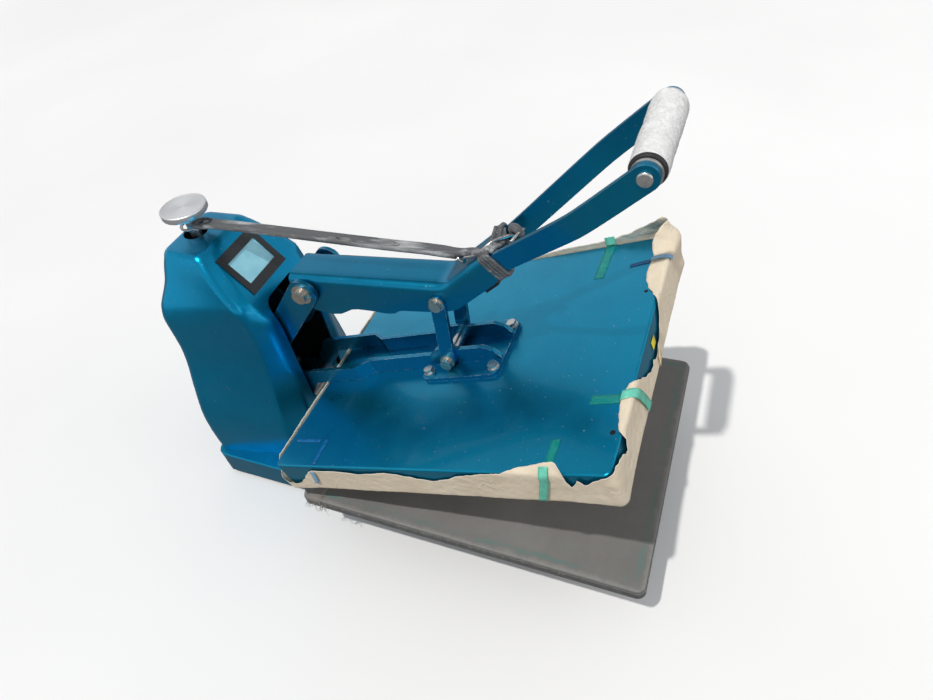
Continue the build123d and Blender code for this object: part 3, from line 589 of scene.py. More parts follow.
TOP_MIDDLE_Y = 425.0
ROLL = 6.0
CORNERS = (22.0, 11.0, 14.0)
WALL = 3.0
WALL_STEPS, ROLL_STEPS, ARC_STEPS, SIDE_STEPS = 70, 8, 12, 20
OPENING_HALF = 44.4
OPENING_TOP = 340.0
OPENING_R = 20.0
OPENING_Y = (280.0, 352.0)
SCREW_Y = 440.0
SCREW_HOLE_R = 18.0
SCREW_HOLE_Z = (380.0, 440.0)


def plan_at(z):
    """Smooth section values at a height."""
    levels = HOUSING_PLAN
    i = 0
    while i < len(levels) - 2 and z > levels[i + 1][0]:
        i += 1
    low, high = levels[i], levels[i + 1]
    before = levels[max(0, i - 1)]
    after = levels[min(len(levels) - 1, i + 2)]
    span = high[0] - low[0]
    t = (z - low[0]) / span
    out = []
    for k in range(1, 7):
        rise = (high[k] - low[k]) / span
        slope_low = (high[k] - before[k]) / (high[0] - before[0]) if i > 0 else rise
        slope_high = (after[k] - low[k]) / (after[0] - low[0]) if i < len(levels) - 2 else rise
        if t > 1:
            out.append(high[k] + slope_high * (z - high[0]))
            continue
        h00 = 2 * t ** 3 - 3 * t ** 2 + 1
        h10 = t ** 3 - 2 * t ** 2 + t
        h01 = -2 * t ** 3 + 3 * t ** 2
        h11 = t ** 3 - t ** 2
        out.append(h00 * low[k] + h10 * span * slope_low + h01 * high[k] + h11 * span * slope_high)
    return out


def plan_loop(z, inset=0.0):
    """Outline points of the housing at height z, moved in by inset, always the same count."""
    cheek, y_front, ridge, y_ridge, rear, y_rear = plan_at(z)
    half = [
        (cheek, y_front + inset, CORNERS[0]),
        (ridge - inset, y_ridge + inset * 0.6, CORNERS[1]),
        (rear - inset, y_rear - inset, CORNERS[2]),
    ]
    corners = half + [(-x, y, radius) for x, y, radius in reversed(half)]
    count = len(corners)
    arcs = []
    for k, (x, y, radius) in enumerate(corners):
        radius = max(2.0, radius - inset)
        here = Vector((x, y))
        to_before = (Vector(corners[k - 1][:2]) - here).normalized()
        to_after = (Vector(corners[(k + 1) % count][:2]) - here).normalized()
        angle = to_before.angle(to_after)
        reach = radius / math.tan(angle / 2)
        centre = here + (to_before + to_after).normalized() * radius / math.sin(angle / 2)
        a = here + to_before * reach - centre
        b = here + to_after * reach - centre
        turn = a.angle(b)
        arcs.append([])
        for step in range(ARC_STEPS + 1):
            t = step / ARC_STEPS
            share = math.sin((1 - t) * turn) / math.sin(turn), math.sin(t * turn) / math.sin(turn)
            arcs[-1].append(centre + a * share[0] + b * share[1])
    out = []
    for k, arc in enumerate(arcs):
        last, end = arc[-1], arcs[(k + 1) % count][0]
        out += arc + [last + (end - last) * step / SIDE_STEPS for step in range(1, SIDE_STEPS)]
    return [(p.x, p.y, z) for p in out]


def housing_shape():
    """The shell's outside: walls, rolled shoulder and flat top."""
    shoulder = HOUSING_TOP - ROLL
    rise = shoulder - HOUSING_LOW
    loops = [plan_loop(HOUSING_LOW + rise * step / WALL_STEPS) for step in range(WALL_STEPS + 1)]
    for step in range(1, ROLL_STEPS + 1):
        angle = math.pi / 2 * step / ROLL_STEPS
        loops.append(plan_loop(shoulder + ROLL * math.sin(angle), ROLL * (1 - math.cos(angle))))
    rim = loops[-1]
    for share in (0.8, 0.6, 0.4, 0.2):
        loops.append([(x * share, TOP_MIDDLE_Y + (y - TOP_MIDDLE_Y) * share, z) for x, y, z in rim])
    points = [p for loop in loops for p in loop]
    count = len(rim)
    return points, grid_faces(len(loops), count, wrap=True) + end_caps(len(loops), count)[1:]


def cutter(name, points, faces):
    """A hidden solid used once to cut another, then removed."""
    mesh = bpy.data.meshes.new(name)
    mesh.from_pydata([row(*p) for p in points], [], faces)
    made = bpy.data.objects.new(name, mesh)
    bpy.context.scene.collection.objects.link(made)
    return made


def cut(made, tools):
    """Applies a piece's modifiers and the cuts for good."""
    for tool in tools:
        change = made.modifiers.new("cut", "BOOLEAN")
        change.operation = "DIFFERENCE"
        change.solver = "EXACT"
        change.object = tool
    bpy.context.view_layer.update()
    depsgraph = bpy.context.evaluated_depsgraph_get()
    final = bpy.data.meshes.new_from_object(made.evaluated_get(depsgraph))
    made.modifiers.clear()
    made.data = final
    for tool in tools:
        bpy.data.objects.remove(tool)


def arch_outline(half, top, radius, low=30.0):
    """A doorway's outline (x, z) from its lower left round to its lower right."""
    points = [(-half, low)]
    for middle, start in ((radius - half, math.pi), (half - radius, math.pi / 2)):
        for step in range(13):
            angle = start - math.pi / 2 * step / 12
            points.append((middle + radius * math.cos(angle), top - radius + radius * math.sin(angle)))
    return points + [(half, low)]


def make_housing():
    """The shell as a sheet with its opening and the pressure screw's hole cut through."""
    points, faces = housing_shape()
    # outside: the lighter housing paint, which is painted light; inside: a near-black matt, which is painted shade
    looks = [MATERIALS["housing_paint"], MATERIALS["dark_inside"]]
    body = make_piece("housing_shell", points, faces, looks, None)
    solid = body.modifiers.new("wall", "SOLIDIFY")
    solid.thickness = WALL * MM
    solid.offset = -1
    # the inner faces take the second material, the painted shade
    solid.material_offset = 1
    solid.material_offset_rim = 0
    outline = arch_outline(OPENING_HALF, OPENING_TOP, OPENING_R)
    count = len(outline)
    arch = [(x, y, z) for y in OPENING_Y for x, z in outline]
    arch_faces = grid_faces(2, count, wrap=True) + end_caps(2, count)
    hole = turned([(SCREW_HOLE_R, z) for z in SCREW_HOLE_Z], 48, Matrix.Translation((0, SCREW_Y, 0)))
    cut(body, [cutter("arch", arch, arch_faces), cutter("hole", *hole)])
    soften(body, 1.1, 3, 50.0)
    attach(body, "press_body")
    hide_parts("rear_housing")


# ---- lever ----
LEVER_RISE = math.radians(43.0)
BEND = Vector((0, 38.0, 405.0))
REAR = Vector((0, 276.0, 383.0))
BAR_OUT = 25.0
SKIN = 5.0
ARM_W = 26.0
SPLAY_START = 85.0
SPLAY_END = 229.0
GRIP_S = 313.0
GRIP_OUT = 73.0
BAR_T = 6.0
PLATE_END = 81.0
BEND_RUN = 14.0
EDGE_R = 5.5
SPLAY_EASE = 16.0
# the side's lower edge: (y, z) from the rear, then (distance from the bend, depth) on the raised part
LOWER_EDGE = [
    (276, 356), (264, 341), (250, 332), (236, 329), (220, 329), (206, 332), (196, 338), (186, 344),
    (176, 346.5), (149, 348), (138, 347.4), (128, 348), (117, 351), (111, 356), (104, 358), (70, 363),
    (40, 369.5), (25, 375.3),
]
LOWER_EDGE_FRONT = ((0, 31), (64, 31), (70, 29.5), (76, 26.5), (90, 26))


def arm_point(distance, depth, x=0.0):
    """A place on the raised handle arms: distance from the bend, depth below the top edge."""
    y = BEND.y - distance * math.cos(LEVER_RISE) - depth * math.sin(LEVER_RISE)
    z = BEND.z + distance * math.sin(LEVER_RISE) - depth * math.cos(LEVER_RISE)
    return Vector((x, y, z))


def lower_edge_at(start, down):
    """How far below the top line the channel's side ends, looking down from start."""
    best = None
    edge = LOWER_EDGE + [tuple(arm_point(at, depth))[1:] for at, depth in LOWER_EDGE_FRONT]
    for (y0, z0), (y1, z1) in zip(edge, edge[1:]):
        ey, ez = y1 - y0, z1 - z0
        det = down.y * -ez + ey * down.z
        if abs(det) < 1e-9:
            continue
        ry, rz = y0 - start.y, z0 - start.z
        depth = (ry * -ez + ey * rz) / det
        share = (down.y * rz - down.z * ry) / det
        if -0.001 <= share <= 1.001 and depth > 5 and (best is None or depth < best):
            best = depth
    return best or ARM_W


def channel_shape():
    """Folded channel: a web with rounded long edges and two deep sides."""
    rear_slope = (BEND - REAR).normalized()
    length = (BEND - REAR).length
    base_angle = math.atan2(rear_slope.z, -rear_slope.y)
    stations = [(REAR + rear_slope * (length - BEND_RUN) * (step / 60), base_angle) for step in range(61)]
    first = BEND - rear_slope * BEND_RUN
    last = arm_point(BEND_RUN, 0)
    for step in range(1, 9):
        t = step / 9
        here = first * (1 - t) ** 2 + BEND * 2 * t * (1 - t) + last * t ** 2
        stations.append((here, base_angle + (LEVER_RISE - base_angle) * t))
    for step in range(13):
        stations.append((arm_point(BEND_RUN + (PLATE_END - BEND_RUN) * step / 12, 0), LEVER_RISE))
    rows = []
    for here, angle in stations:
        down = Vector((0, -math.sin(angle), -math.cos(angle)))
        depth = lower_edge_at(here, down)
        line = [(-BAR_OUT, max(EDGE_R, depth * share)) for share in (1.0, 0.94, 0.8, 0.6, 0.4, 0.25)]
        for step in range(7):
            turn = math.pi / 2 * step / 6
            line.append((-BAR_OUT + EDGE_R - EDGE_R * math.cos(turn), EDGE_R - EDGE_R * math.sin(turn)))
        right = [(-x, d) for x, d in reversed(line)]
        line += [(x, 0.0) for x in (-12.0, 0.0, 12.0)] + right
        rows.append([here + Vector((x, 0, 0)) + down * d for x, d in line])
    return [p for r in rows for p in r], grid_faces(len(rows), len(rows[0]))


def arm_shape(side):
    """One handle arm: flat bar that splays out to the grip and ends round."""
    straight = BAR_OUT - BAR_T / 2
    spread = (GRIP_OUT - BAR_OUT) / (SPLAY_END - SPLAY_START)

    def corner(value):
        return 0.5 * (value + math.sqrt(value * value + SPLAY_EASE * SPLAY_EASE))

    def middle_x(distance):
        return straight + spread * (corner(distance - SPLAY_START) - corner(distance - SPLAY_END))

    half = ARM_W / 2
    stations = [PLATE_END + (GRIP_S - PLATE_END) * k / 60 for k in range(60)]
    stations += [GRIP_S + half * math.sin(math.pi / 2 * k / 12) * 0.999 for k in range(13)]
    points = []
    for distance in stations:
        over = max(0.0, distance - GRIP_S)
        reach = math.sqrt(max(0.02, half * half - over * over))
        slope = middle_x(distance + 1) - middle_x(distance - 1)
        shift = Vector((1.0, -slope / 2)).normalized() * BAR_T / 2
        depths = (half - reach, half - reach / 3, half + reach / 3, half + reach)
        for way, face in ((1, depths), (-1, reversed(depths))):
            x = middle_x(distance) + way * shift.x
            points += [arm_point(distance + way * shift.y, depth, side * x) for depth in face]
    faces = grid_faces(len(stations), 8, wrap=True) + end_caps(len(stations), 8)
    if side < 0:
        faces = [tuple(reversed(face)) for face in faces]
    return points, faces


def make_lever():
    """The folded channel and the two arms that run on to the grip."""
    points, faces = channel_shape()
    web = make_piece("lever_channel", points, faces, MATERIALS["teal_paint"], "handle_lever", "teal_paint")
    solid = web.modifiers.new("sheet", "SOLIDIFY")
    solid.thickness = SKIN * MM
    solid.offset = -1
    soften(web, 0.8, 2, 45.0)
    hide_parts("lever_top_plate")
    for side, name in ((1, "right"), (-1, "left")):
        points, faces = arm_shape(side)
        arm = make_piece(f"handle_arm_{name}", points, faces, MATERIALS["teal_paint"], "handle_lever",
                         "teal_paint", edge=1.0)
        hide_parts(f"lever_bar_{name}")


# ---- paper round the heat platen, drawn closed and turned open ----
FACE_Z = 108.6
COVER_Z = 154.5
PAPER_X = 204.6
PAPER_Y = 255.2
PAPER_CORNER_R = 9.0
PAPER_Z = FACE_Z - 0.6
FOLD_AT = 45.2
RIM_ARC = 4.0
PAPER_SPACING = 3.4
PAPER_STEPS = 26

# The torn top edge, along each side: place along the side, paper length above the platen face, and
# fold angle at the cover's rim (0 stands up, 90 lies flat on the cover).
EDGE_FRONT = [
    (205, 74, 8), (196, 76, 14), (184, 75, 30), (173, 73, 62), (166, 71, 86), (157, 68.5, 91),
    (140, 70, 91), (122, 71, 91), (106, 69, 91), (92, 64, 90), (76, 55, 88), (62, 47.5, 60), (57, 44, 0),
    (51, 36, 0), (42, 29, 0), (32, 24, 0), (22, 19, 0), (14, 19.5, 0), (6, 14, 0), (-7, 14, 0),
    (-16, 21, 0), (-21, 17, 0), (-30, 18.5, 0), (-48, 27, 0), (-62, 38, 0), (-72, 46, 40), (-82, 55, 86),
    (-92, 58, 91), (-108, 58.5, 91), (-122, 57, 91), (-136, 54, 90), (-147, 52, 88), (-152, 40, 20),
    (-158, 31, 0), (-165, 33, 0), (-171, 41, 0), (-184, 45, 8), (-196, 50, 8), (-205, 54, 5),
]
EDGE_LEFT = [
    (-255, 52, 5), (-247, 46, 0), (-236, 41, 0), (-222, 34, 0), (-216, 41, 0), (-209, 32, 0), (-203, 27, 0),
    (-200, 56, 26), (-193, 62, 40), (-184, 61, 46), (-168, 58, 52), (-151, 55, 55), (-137, 51, 40),
    (-123, 47, 20), (-100, 46, 10), (-84, 43, 0), (-65, 40.5, 0), (-44, 33, 0), (-22, 28.5, 0), (-6, 31, 0),
    (13, 35.5, 0), (30, 39, 0), (49, 41.5, 0), (72, 39, 0), (95, 37.5, 0), (116, 40, 0), (138, 41.5, 0),
    (160, 41, 0), (179, 41.5, 0), (188, 38, 0), (197, 31, 0), (210, 21, 0), (222, 13, 0), (232, 11, 0),
    (244, 12, 0), (255, 16, 0),
]
EDGE_REAR = [
    (-205, 20, 0), (-198, 27, 0), (-190, 40, 0), (-182, 47, 6), (-150, 47.5, 10), (-100, 48.5, 12),
    (-40, 47.5, 8), (30, 48.5, 12), (100, 47.5, 8), (160, 48.5, 10), (205, 49, 8),
]
EDGE_RIGHT = [
    (255, 50, 8), (200, 48, 10), (130, 49, 8), (60, 48, 10), (0, 49.5, 10), (-50, 50.5, 12), (-100, 54, 14),
    (-140, 54, 14), (-165, 56, 16), (-190, 61, 16), (-212, 67, 14), (-232, 73, 12), (-246, 77, 10),
    (-255, 75, 8),
]


def edge_at(table, place):
    """Length and fold angle at a place along a side, smoothed between the table's rows."""
    if (table[0][0] - place) * (table[-1][0] - table[0][0]) >= 0:
        return table[0][1], table[0][2]
    for (a, la, fa), (b, lb, fb) in zip(table, table[1:]):
        if min(a, b) <= place <= max(a, b):
            t = (place - a) / (b - a)
            t = t * t * (3 - 2 * t)
            return la + (lb - la) * t, fa + (fb - fa) * t
    return table[-1][1], table[-1][2]


def paper_stations(spacing):
    """Round the platen from the right front corner: (place, outward, length, fold)."""
    radius = PAPER_CORNER_R
    sides = [
        ((PAPER_X, -PAPER_Y), (-1, 0), (0, -1), 2 * PAPER_X, EDGE_FRONT),
        ((-PAPER_X, -PAPER_Y), (0, 1), (-1, 0), 2 * PAPER_Y, EDGE_LEFT),
        ((-PAPER_X, PAPER_Y), (1, 0), (0, 1), 2 * PAPER_X, EDGE_REAR),
        ((PAPER_X, PAPER_Y), (0, -1), (1, 0), 2 * PAPER_Y, EDGE_RIGHT),
    ]

    def torn_at(side, spot):
        return edge_at(side[4], spot.x if side[1][0] else spot.y)

    out = []
    for i, side in enumerate(sides):
        along, outward = Vector(side[1]), Vector(side[2])
        run = side[3] - 2 * radius
        steps = int(run / spacing)
        start = Vector(side[0]) + along * radius
        for k in range(steps):
            here = start + along * run * k / steps
            out.append((here, outward, *torn_at(side, here)))
        last = start + along * run
        following = sides[(i + 1) % 4]
        before = torn_at(side, last)
        after = torn_at(following, Vector(following[0]) + Vector(following[1]) * radius)
        for k in range(7):
            t = k / 7
            turn = t * math.pi / 2
            normal = outward * math.cos(turn) + along * math.sin(turn)
            mixed = [before[n] + (after[n] - before[n]) * t for n in (0, 1)]
            out.append((last - outward * radius + normal * radius, normal, *mixed))
    return out


def crumple(point, scale, seed):
    return noise.noise(Vector(point) * scale + Vector((seed, seed * 0.7, -seed)))


def folds(point, scale, seed):
    """Sharp creases: a ridged noise."""
    return 1.0 - 2.0 * abs(noise.noise(Vector(point) * scale + Vector((seed, 3.1, seed))))


def corner_share(x, y):
    """1 at a corner of the platen, 0 away from it."""
    reach = math.hypot(PAPER_X - abs(x), PAPER_Y - abs(y))
    return max(0.0, 1.0 - reach / 62.0)


def paper_height(here, reach, fold, bulge):
    """Height, outset and inset of the paper where it passes the cover's rim and folds in."""
    beyond = reach - FOLD_AT
    angle = math.radians(fold)
    arc = min(beyond, RIM_ARC)
    turn = angle * arc / RIM_ARC
    rise = arc * (math.sin(turn) / turn if turn > 0.01 else 1.0)
    inset = arc * ((1 - math.cos(turn)) / turn if turn > 0.01 else 0.0)
    left = beyond - arc
    rise += left * math.cos(angle)
    inset += left * math.sin(angle)
    flat = math.sin(angle)
    wave = crumple((here.x, here.y, reach * 0.5), 0.05, 8.0)
    z = PAPER_Z + FOLD_AT + rise + flat * max(0.0, 1.0 + 1.6 * wave) + flat * 0.02 * left
    ridges = 2.4 * folds((here.x, here.y, reach), 0.05, 20.0) * min(1.0, beyond / 14)
    outset = bulge * (1 - 0.8 * flat) + (1 - flat) * (beyond * 0.05 + ridges)
    return z, outset, inset


def paper_point(station, share):
    """A place on the turned-up side, share of the way from the platen's edge to the torn edge."""
    here, outward, length, fold = station
    flat_spot = (here.x, here.y, 0)
    torn = 0.5 * crumple(flat_spot, 0.2, 9.0) + 0.25 * crumple(flat_spot, 1.1, 2.0)
    reach = max(3.0, length + torn) * share
    near_corner = corner_share(here.x, here.y)
    up = reach / FOLD_AT
    spot = (here.x, here.y, reach)
    bulge = (0.7 + 1.0 * near_corner) * (0.9 + 0.9 * crumple(spot, 0.022, 1.0))
    bulge += near_corner * 2.2 * folds((here.x, here.y, reach * 0.7), 0.045, 6.0) * min(1.0, up * 1.5)
    bulge += 0.35 * folds(spot, 0.09, 12.0)
    bulge = max(0.25, bulge)
    if reach > FOLD_AT:
        z, outset, inset = paper_height(here, reach, fold, bulge)
    else:
        slope = 1.6 * (1 - min(1.0, up)) if reach < 6 else 0.0
        z, outset, inset = PAPER_Z + reach - slope * 0.2, bulge, 0.0
    # the foot of each side is a soft crease over the platen's lower edge
    outset -= max(0.0, 1.0 - reach / 3.0) ** 2
    if here.x > 150 and here.y < -190:
        outset += 6.5 * near_corner * math.exp(-((reach - 46) / 16) ** 2)
    spot = here + outward * (outset - inset)
    return spot.x, spot.y, z - near_corner * 2.5 * max(0.0, 1 - reach / 12.0)


def paper_wrap():
    """Kraft paper under the heated platen, turned up round its sides and torn off along the top."""
    stations = paper_stations(PAPER_SPACING)
    rows = []
    for share in (0.0, 0.25, 0.5, 0.7, 0.85, 0.94, 0.985):
        rows.append([])
        for station in stations:
            x, y = station[0] * share
            sag = 0.25 + 0.25 * crumple((x, y, 0), 0.03, 4.0)
            rows[-1].append((x, y, FACE_Z - 0.5 - sag))
    for k in range(PAPER_STEPS + 1):
        rows.append([paper_point(station, k / PAPER_STEPS) for station in stations])
    points = [p for r in rows for p in r]
    faces = grid_faces(len(rows), len(stations), wrap=True)
    looks = [MATERIALS["kraft_paper"], MATERIALS["torn_paper"]]
    wrap = make_piece("platen_paper", points, faces, looks, None, turn=OPEN)
    wrap.data.validate()
    # the first row is one point: pull it together
    weld = wrap.modifiers.new("weld", "WELD")
    weld.merge_threshold = 0.00005
    sheet = wrap.modifiers.new("paper", "SOLIDIFY")
    sheet.thickness = 0.00035
    sheet.offset = 0
    sheet.material_offset_rim = 1
    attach(wrap, "upper_platen")
    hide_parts("paper_wrap")
    return wrap


def ribbon(name, line, across, width, thickness, material, body, turn=None, ragged=0.0):
    """A strip of tape along a line of points; across is the direction of its width."""
    path = smooth_line(line, 5)
    side = Vector(across).normalized()
    points = []
    for here in path:
        half = 0.5 * width + ragged * crumple(here, 0.4, 5.0)
        points += [here + side * half * share for share in (-1, -0.33, 0.33, 1)]
    made = make_piece(name, points, grid_faces(len(path), 4), material, body, turn=turn)
    sheet = made.modifiers.new("thickness", "SOLIDIFY")
    sheet.thickness = thickness * MM
    sheet.offset = 0
    return made


def make_tapes():
    """Each tape is a darker film on the cover and a paler strip on the paper."""
    top = COVER_Z + 0.35
    over = FACE_Z + FOLD_AT + 4.6
    front = -PAPER_Y - 3.0
    left = -PAPER_X - 3.0
    ahead, across = (1, 0, 0), (0, 1, 0)
    strips = [
        ("tape_green_right_on_cover", "green_film", across, 15,
         [(126, -161, top), (160, -162, top), (201, -163, top)]),
        ("tape_green_right", "green_tape", across, 15,
         [(201.5, -163, top + 0.5), (203.4, -163, over + 4), (204.6, -163, over + 9.5)]),
        ("tape_blue_front_on_cover", "blue_film", ahead, 8,
         [(144, -203, top), (147, -222, top), (148, -231, top)]),
        ("tape_blue_front", "blue_tape", ahead, 8,
         [(148, -232, over + 0.2), (149, -242, over + 0.9), (150, -251, over + 0.2),
          (151, front - 0.4, over - 4), (151, front - 0.6, 151)]),
        ("tape_green_front_on_cover", "green_film", ahead, 14,
         [(-100, -206, top), (-100, -226, top), (-99, -242, top)]),
        ("tape_green_front", "green_tape", ahead, 14,
         [(-98, -243, over + 0.2), (-96, -249, over + 0.4), (-93, -254.5, over - 1.6),
          (-89, front - 0.4, over - 8), (-83, front - 0.6, 138), (-78, front - 0.6, 124),
          (-75, front - 0.6, 112)]),
        ("tape_green_left_on_cover", "green_film", across, 11,
         [(-156, -180, top), (-176, -180, top), (-194, -180, top)]),
        ("tape_green_left", "green_tape", across, 11,
         [(-200.6, -181, over + 6), (left - 0.4, -179.5, over - 2), (left - 0.6, -177, 146),
          (left - 0.6, -170, 130), (left - 0.6, -162, 112)]),
        ("tape_blue_left_a", "blue_film", across, 7, [(-154, 178, top), (-176, 177, top), (-199, 176, top)]),
        ("tape_blue_left_b", "blue_film", ahead, 6,
         [(-156.5, 240, top), (-157.2, 215, top), (-157.5, 190, top)]),
        ("tape_blue_left_c", "blue_tape", (0, 1, 0.3), 7,
         [(left - 0.5, 176.5, 150), (left - 0.5, 180, 138), (left - 0.5, 186, 124)]),
        ("tag_yellow", "yellow_tag", ahead, 15, [(8, -253.9, 141), (7.5, -254.0, 136), (7, -254.0, 130)]),
        ("tape_clear", "tan_tape", (1, 0, 0.3), 14,
         [(3, front - 0.2, 124), (1, front - 0.4, 118), (-2, front - 0.4, 112)]),
    ]
    for name, look, side, width, line in strips:
        ribbon(name, line, side, width, 0.2, MATERIALS[look], "upper_platen", OPEN)


# ---- lower pad's cloth cover and the patch at its rear corner ----
PAD_CORNER_R = 12.0
THREAD_R = 0.28
THREADS, PATCH_THREADS = 70, 30


def make_pad():
    """The cloth over the lower pad, its patch and its threads."""
    low, high = drawn(pad_low), drawn(pad_high)
    outline = rounded_outline(high.x, high.y, PAD_CORNER_R, 5.0)

    def settled(x, y):
        return -0.25 + 0.25 * crumple((x, y, 0), 0.02, 7.0)

    loops = []
    profile = [(0.0, 0.0), (0.0, 0.35), (0.0, 0.65), (0.5, 0.84), (1.5, 0.95), (3.2, 1.0), (8.0, 1.0)]
    for inset, up in profile:
        z = low.z + (high.z - low.z) * up
        loops.append([])
        for x, y, nx, ny in outline:
            fray = 0.35 * crumple((x, y, 0), 0.25, 3.0) if inset < 2 else 0.0
            back = inset + 0.35 - fray
            loops[-1].append((x - nx * back, y - ny * back, z + (settled(x, y) if up > 0.99 else 0.0)))
    rim = loops[-1]
    for share in (0.93, 0.8, 0.6, 0.4, 0.2, 0.05):
        loops.append([(x * share, y * share, high.z + settled(x * share, y * share)) for x, y, z in rim])
    points = [p for loop in loops for p in loop]
    count = len(outline)
    faces = grid_faces(len(loops), count, wrap=True) + end_caps(len(loops), count)[::-1]
    pad = make_piece("pad_cover", points, faces, MATERIALS["pad_cloth"], "press_body", "pad_cloth")
    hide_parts("platen_pad")
    top = high.z + 0.25
    edge = -high.x - 0.5
    line = [(-150, 229, top), (-170, 230, top), (-190, 231, top), (-200, 231, top - 0.6),
            (edge, 231, top - 4), (edge - 0.3, 231, top - 9), (edge + 0.2, 230, top - 15)]
    ribbon("patch_tape", line, (0, 1, 0), 26, 0.4, MATERIALS["patch_cloth"], "press_body", ragged=1.6)
    make_threads(edge, top)


def make_threads(edge, top):
    """Frayed threads along the near edge of the cloth and at the patch."""
    random.seed(11)
    shapes = []
    section = circle(THREAD_R, 5)
    for k in range(THREADS):
        if k < PATCH_THREADS:
            y = random.uniform(212, 246)
            z = top - random.uniform(9, 15)
            length = random.uniform(5, 15)
        else:
            y = random.uniform(-245, 225)
            z = top - random.uniform(3.5, 6.0)
            length = random.uniform(1.5, 4.5)
        side = random.uniform(-1, 1)
        start = Vector((edge - 0.2, y, z))
        middle = start + Vector((-length * 0.35, side * length * 0.3, -length * 0.25))
        end = start + Vector((-length * random.uniform(0.2, 0.6), side * length * 0.7,
                              -length * random.uniform(0.4, 0.95)))
        shapes.append(sweep(smooth_line([start, middle, end], 4), section, (0, 0, 1)))
    points, faces = merge(*shapes)
    make_piece("pad_threads", points, faces, MATERIALS["thread"], "press_body", "pad_cloth")


def rounded_outline(half_x, half_y, radius, spacing):
    """Points (x, y, normal x, normal y) round a rectangle with rounded corners."""
    arcs = []
    for k, (sx, sy) in enumerate(((1, -1), (1, 1), (-1, 1), (-1, -1))):
        arcs.append([])
        for step in range(9):
            angle = math.radians(90 * (k - 1) + 90 * step / 8)
            nx, ny = math.cos(angle), math.sin(angle)
            x, y = sx * (half_x - radius) + radius * nx, sy * (half_y - radius) + radius * ny
            arcs[-1].append((x, y, nx, ny))
    out = []
    for k, arc in enumerate(arcs):
        out += arc
        (x, y, nx, ny), end = arc[-1], arcs[(k + 1) % 4][0]
        steps = max(2, int(math.hypot(end[0] - x, end[1] - y) / spacing))
        for step in range(1, steps):
            t = step / steps
            out.append((x + (end[0] - x) * t, y + (end[1] - y) * t, nx, ny))
    return out


# ---- knob ----
def make_knob():
    foot, top = drawn(knob_low).z, drawn(knob_high).z
    profile = [
        (12.8, foot), (13.0, foot + 0.6), (13.0, top - 10.6), (14.0, top - 10.1), (30.6, top - 10.0),
        (32.3, top - 9.6), (33.0, top - 8.6), (33.0, top - 1.6), (32.7, top - 0.6), (31.8, top - 0.1),
        (30.9, top), (29.9, top - 0.25), (29.2, top - 0.55), (20.0, top - 0.6), (10.0, top - 0.62),
        (3.0, top - 0.65), (0.2, top - 0.65),
    ]
    shape = turned(profile, 96, Matrix.Translation((0, SCREW_Y, 0)))
    look = "knob_aluminium"
    knob = make_piece("knob_turned", *shape, MATERIALS[look], "pressure_adjuster", look)
    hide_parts("pressure_knob")


# ---- strap between the knob stem and the handle arms ----
LOOP_GAP = 0.6


def rib_section(half_width, thickness):
    """Two round ribs with a web between them."""
    rib = thickness / 2
    centre = half_width - rib
    inner = centre - rib * 0.75
    out = []
    for side in (1, -1):
        for k in range(9):
            angle = math.radians(-90 + 180 * k / 8)
            out.append((side * (centre + rib * math.cos(angle)), side * rib * math.sin(angle)))
        out += [(side * inner, side * rib * 0.55), (0, side * rib * 0.42), (-side * inner, side * rib * 0.55)]
    return out


def rounded_section(half_width, half_thick, radius):
    """A rectangle with rounded corners."""
    out = []
    for quarter, (sx, sy) in enumerate(((1, 1), (-1, 1), (-1, -1), (1, -1))):
        for k in range(5):
            angle = math.radians(90 * quarter + 90 * k / 4)
            out.append((sx * (half_width - radius) + radius * math.cos(angle),
                        sy * (half_thick - radius) + radius * math.sin(angle)))
    return out


def loop_round_arm(side, distance, width, thick, lean=0.0, bulge=0.0):
    """A closed rubber loop round one handle arm, square to it or leaning along it."""
    clear = LOOP_GAP + thick / 2
    inner = BAR_OUT - BAR_T - clear
    outer = BAR_OUT + clear
    corners = [(outer, -clear), (outer + 0.4, ARM_W * 0.33), (outer + 0.4, ARM_W * 0.66),
               (outer, ARM_W + clear), (inner, ARM_W + clear), (inner - bulge, ARM_W * 0.6),
               (inner - bulge, ARM_W * 0.3), (inner, -clear)]
    line = [arm_point(distance + lean * (depth / ARM_W - 0.5), depth, side * x) for x, depth in corners]
    path = smooth_line(line, 6, closed=True)
    section = rib_section(width / 2, thick)
    centre = arm_point(distance, ARM_W / 2, side * (BAR_OUT - BAR_T / 2))
    along_arm = (arm_point(distance + 1, 0) - arm_point(distance, 0)).normalized()
    points = []
    for here in path:
        out = here - centre
        out = (out - along_arm * out.dot(along_arm)).normalized()
        points += [here + along_arm * u + out * v for u, v in section]
    return points, grid_faces(len(path), len(section), wrap=True, loop=True)


def torus(centre, axis, radius, tube_u, tube_v):
    """A ring about an axis; its tube is tube_u across the ring and tube_v along the axis."""
    centre = Vector(centre)
    axis = Vector(axis).normalized()
    first = axis.orthogonal().normalized()
    second = axis.cross(first)
    points = []
    for u, v in circle(1.0, 28):
        out = (first * u + second * v).normalized()
        points += [centre + out * (radius + tube_u * a) + axis * tube_v * b for a, b in circle(1.0, 12)]
    return points, grid_faces(28, 12, wrap=True, loop=True)


def arm_line(*places):
    """A smooth line through places on the arms: distance, depth and x."""
    return smooth_line([arm_point(*place) for place in places], 6)


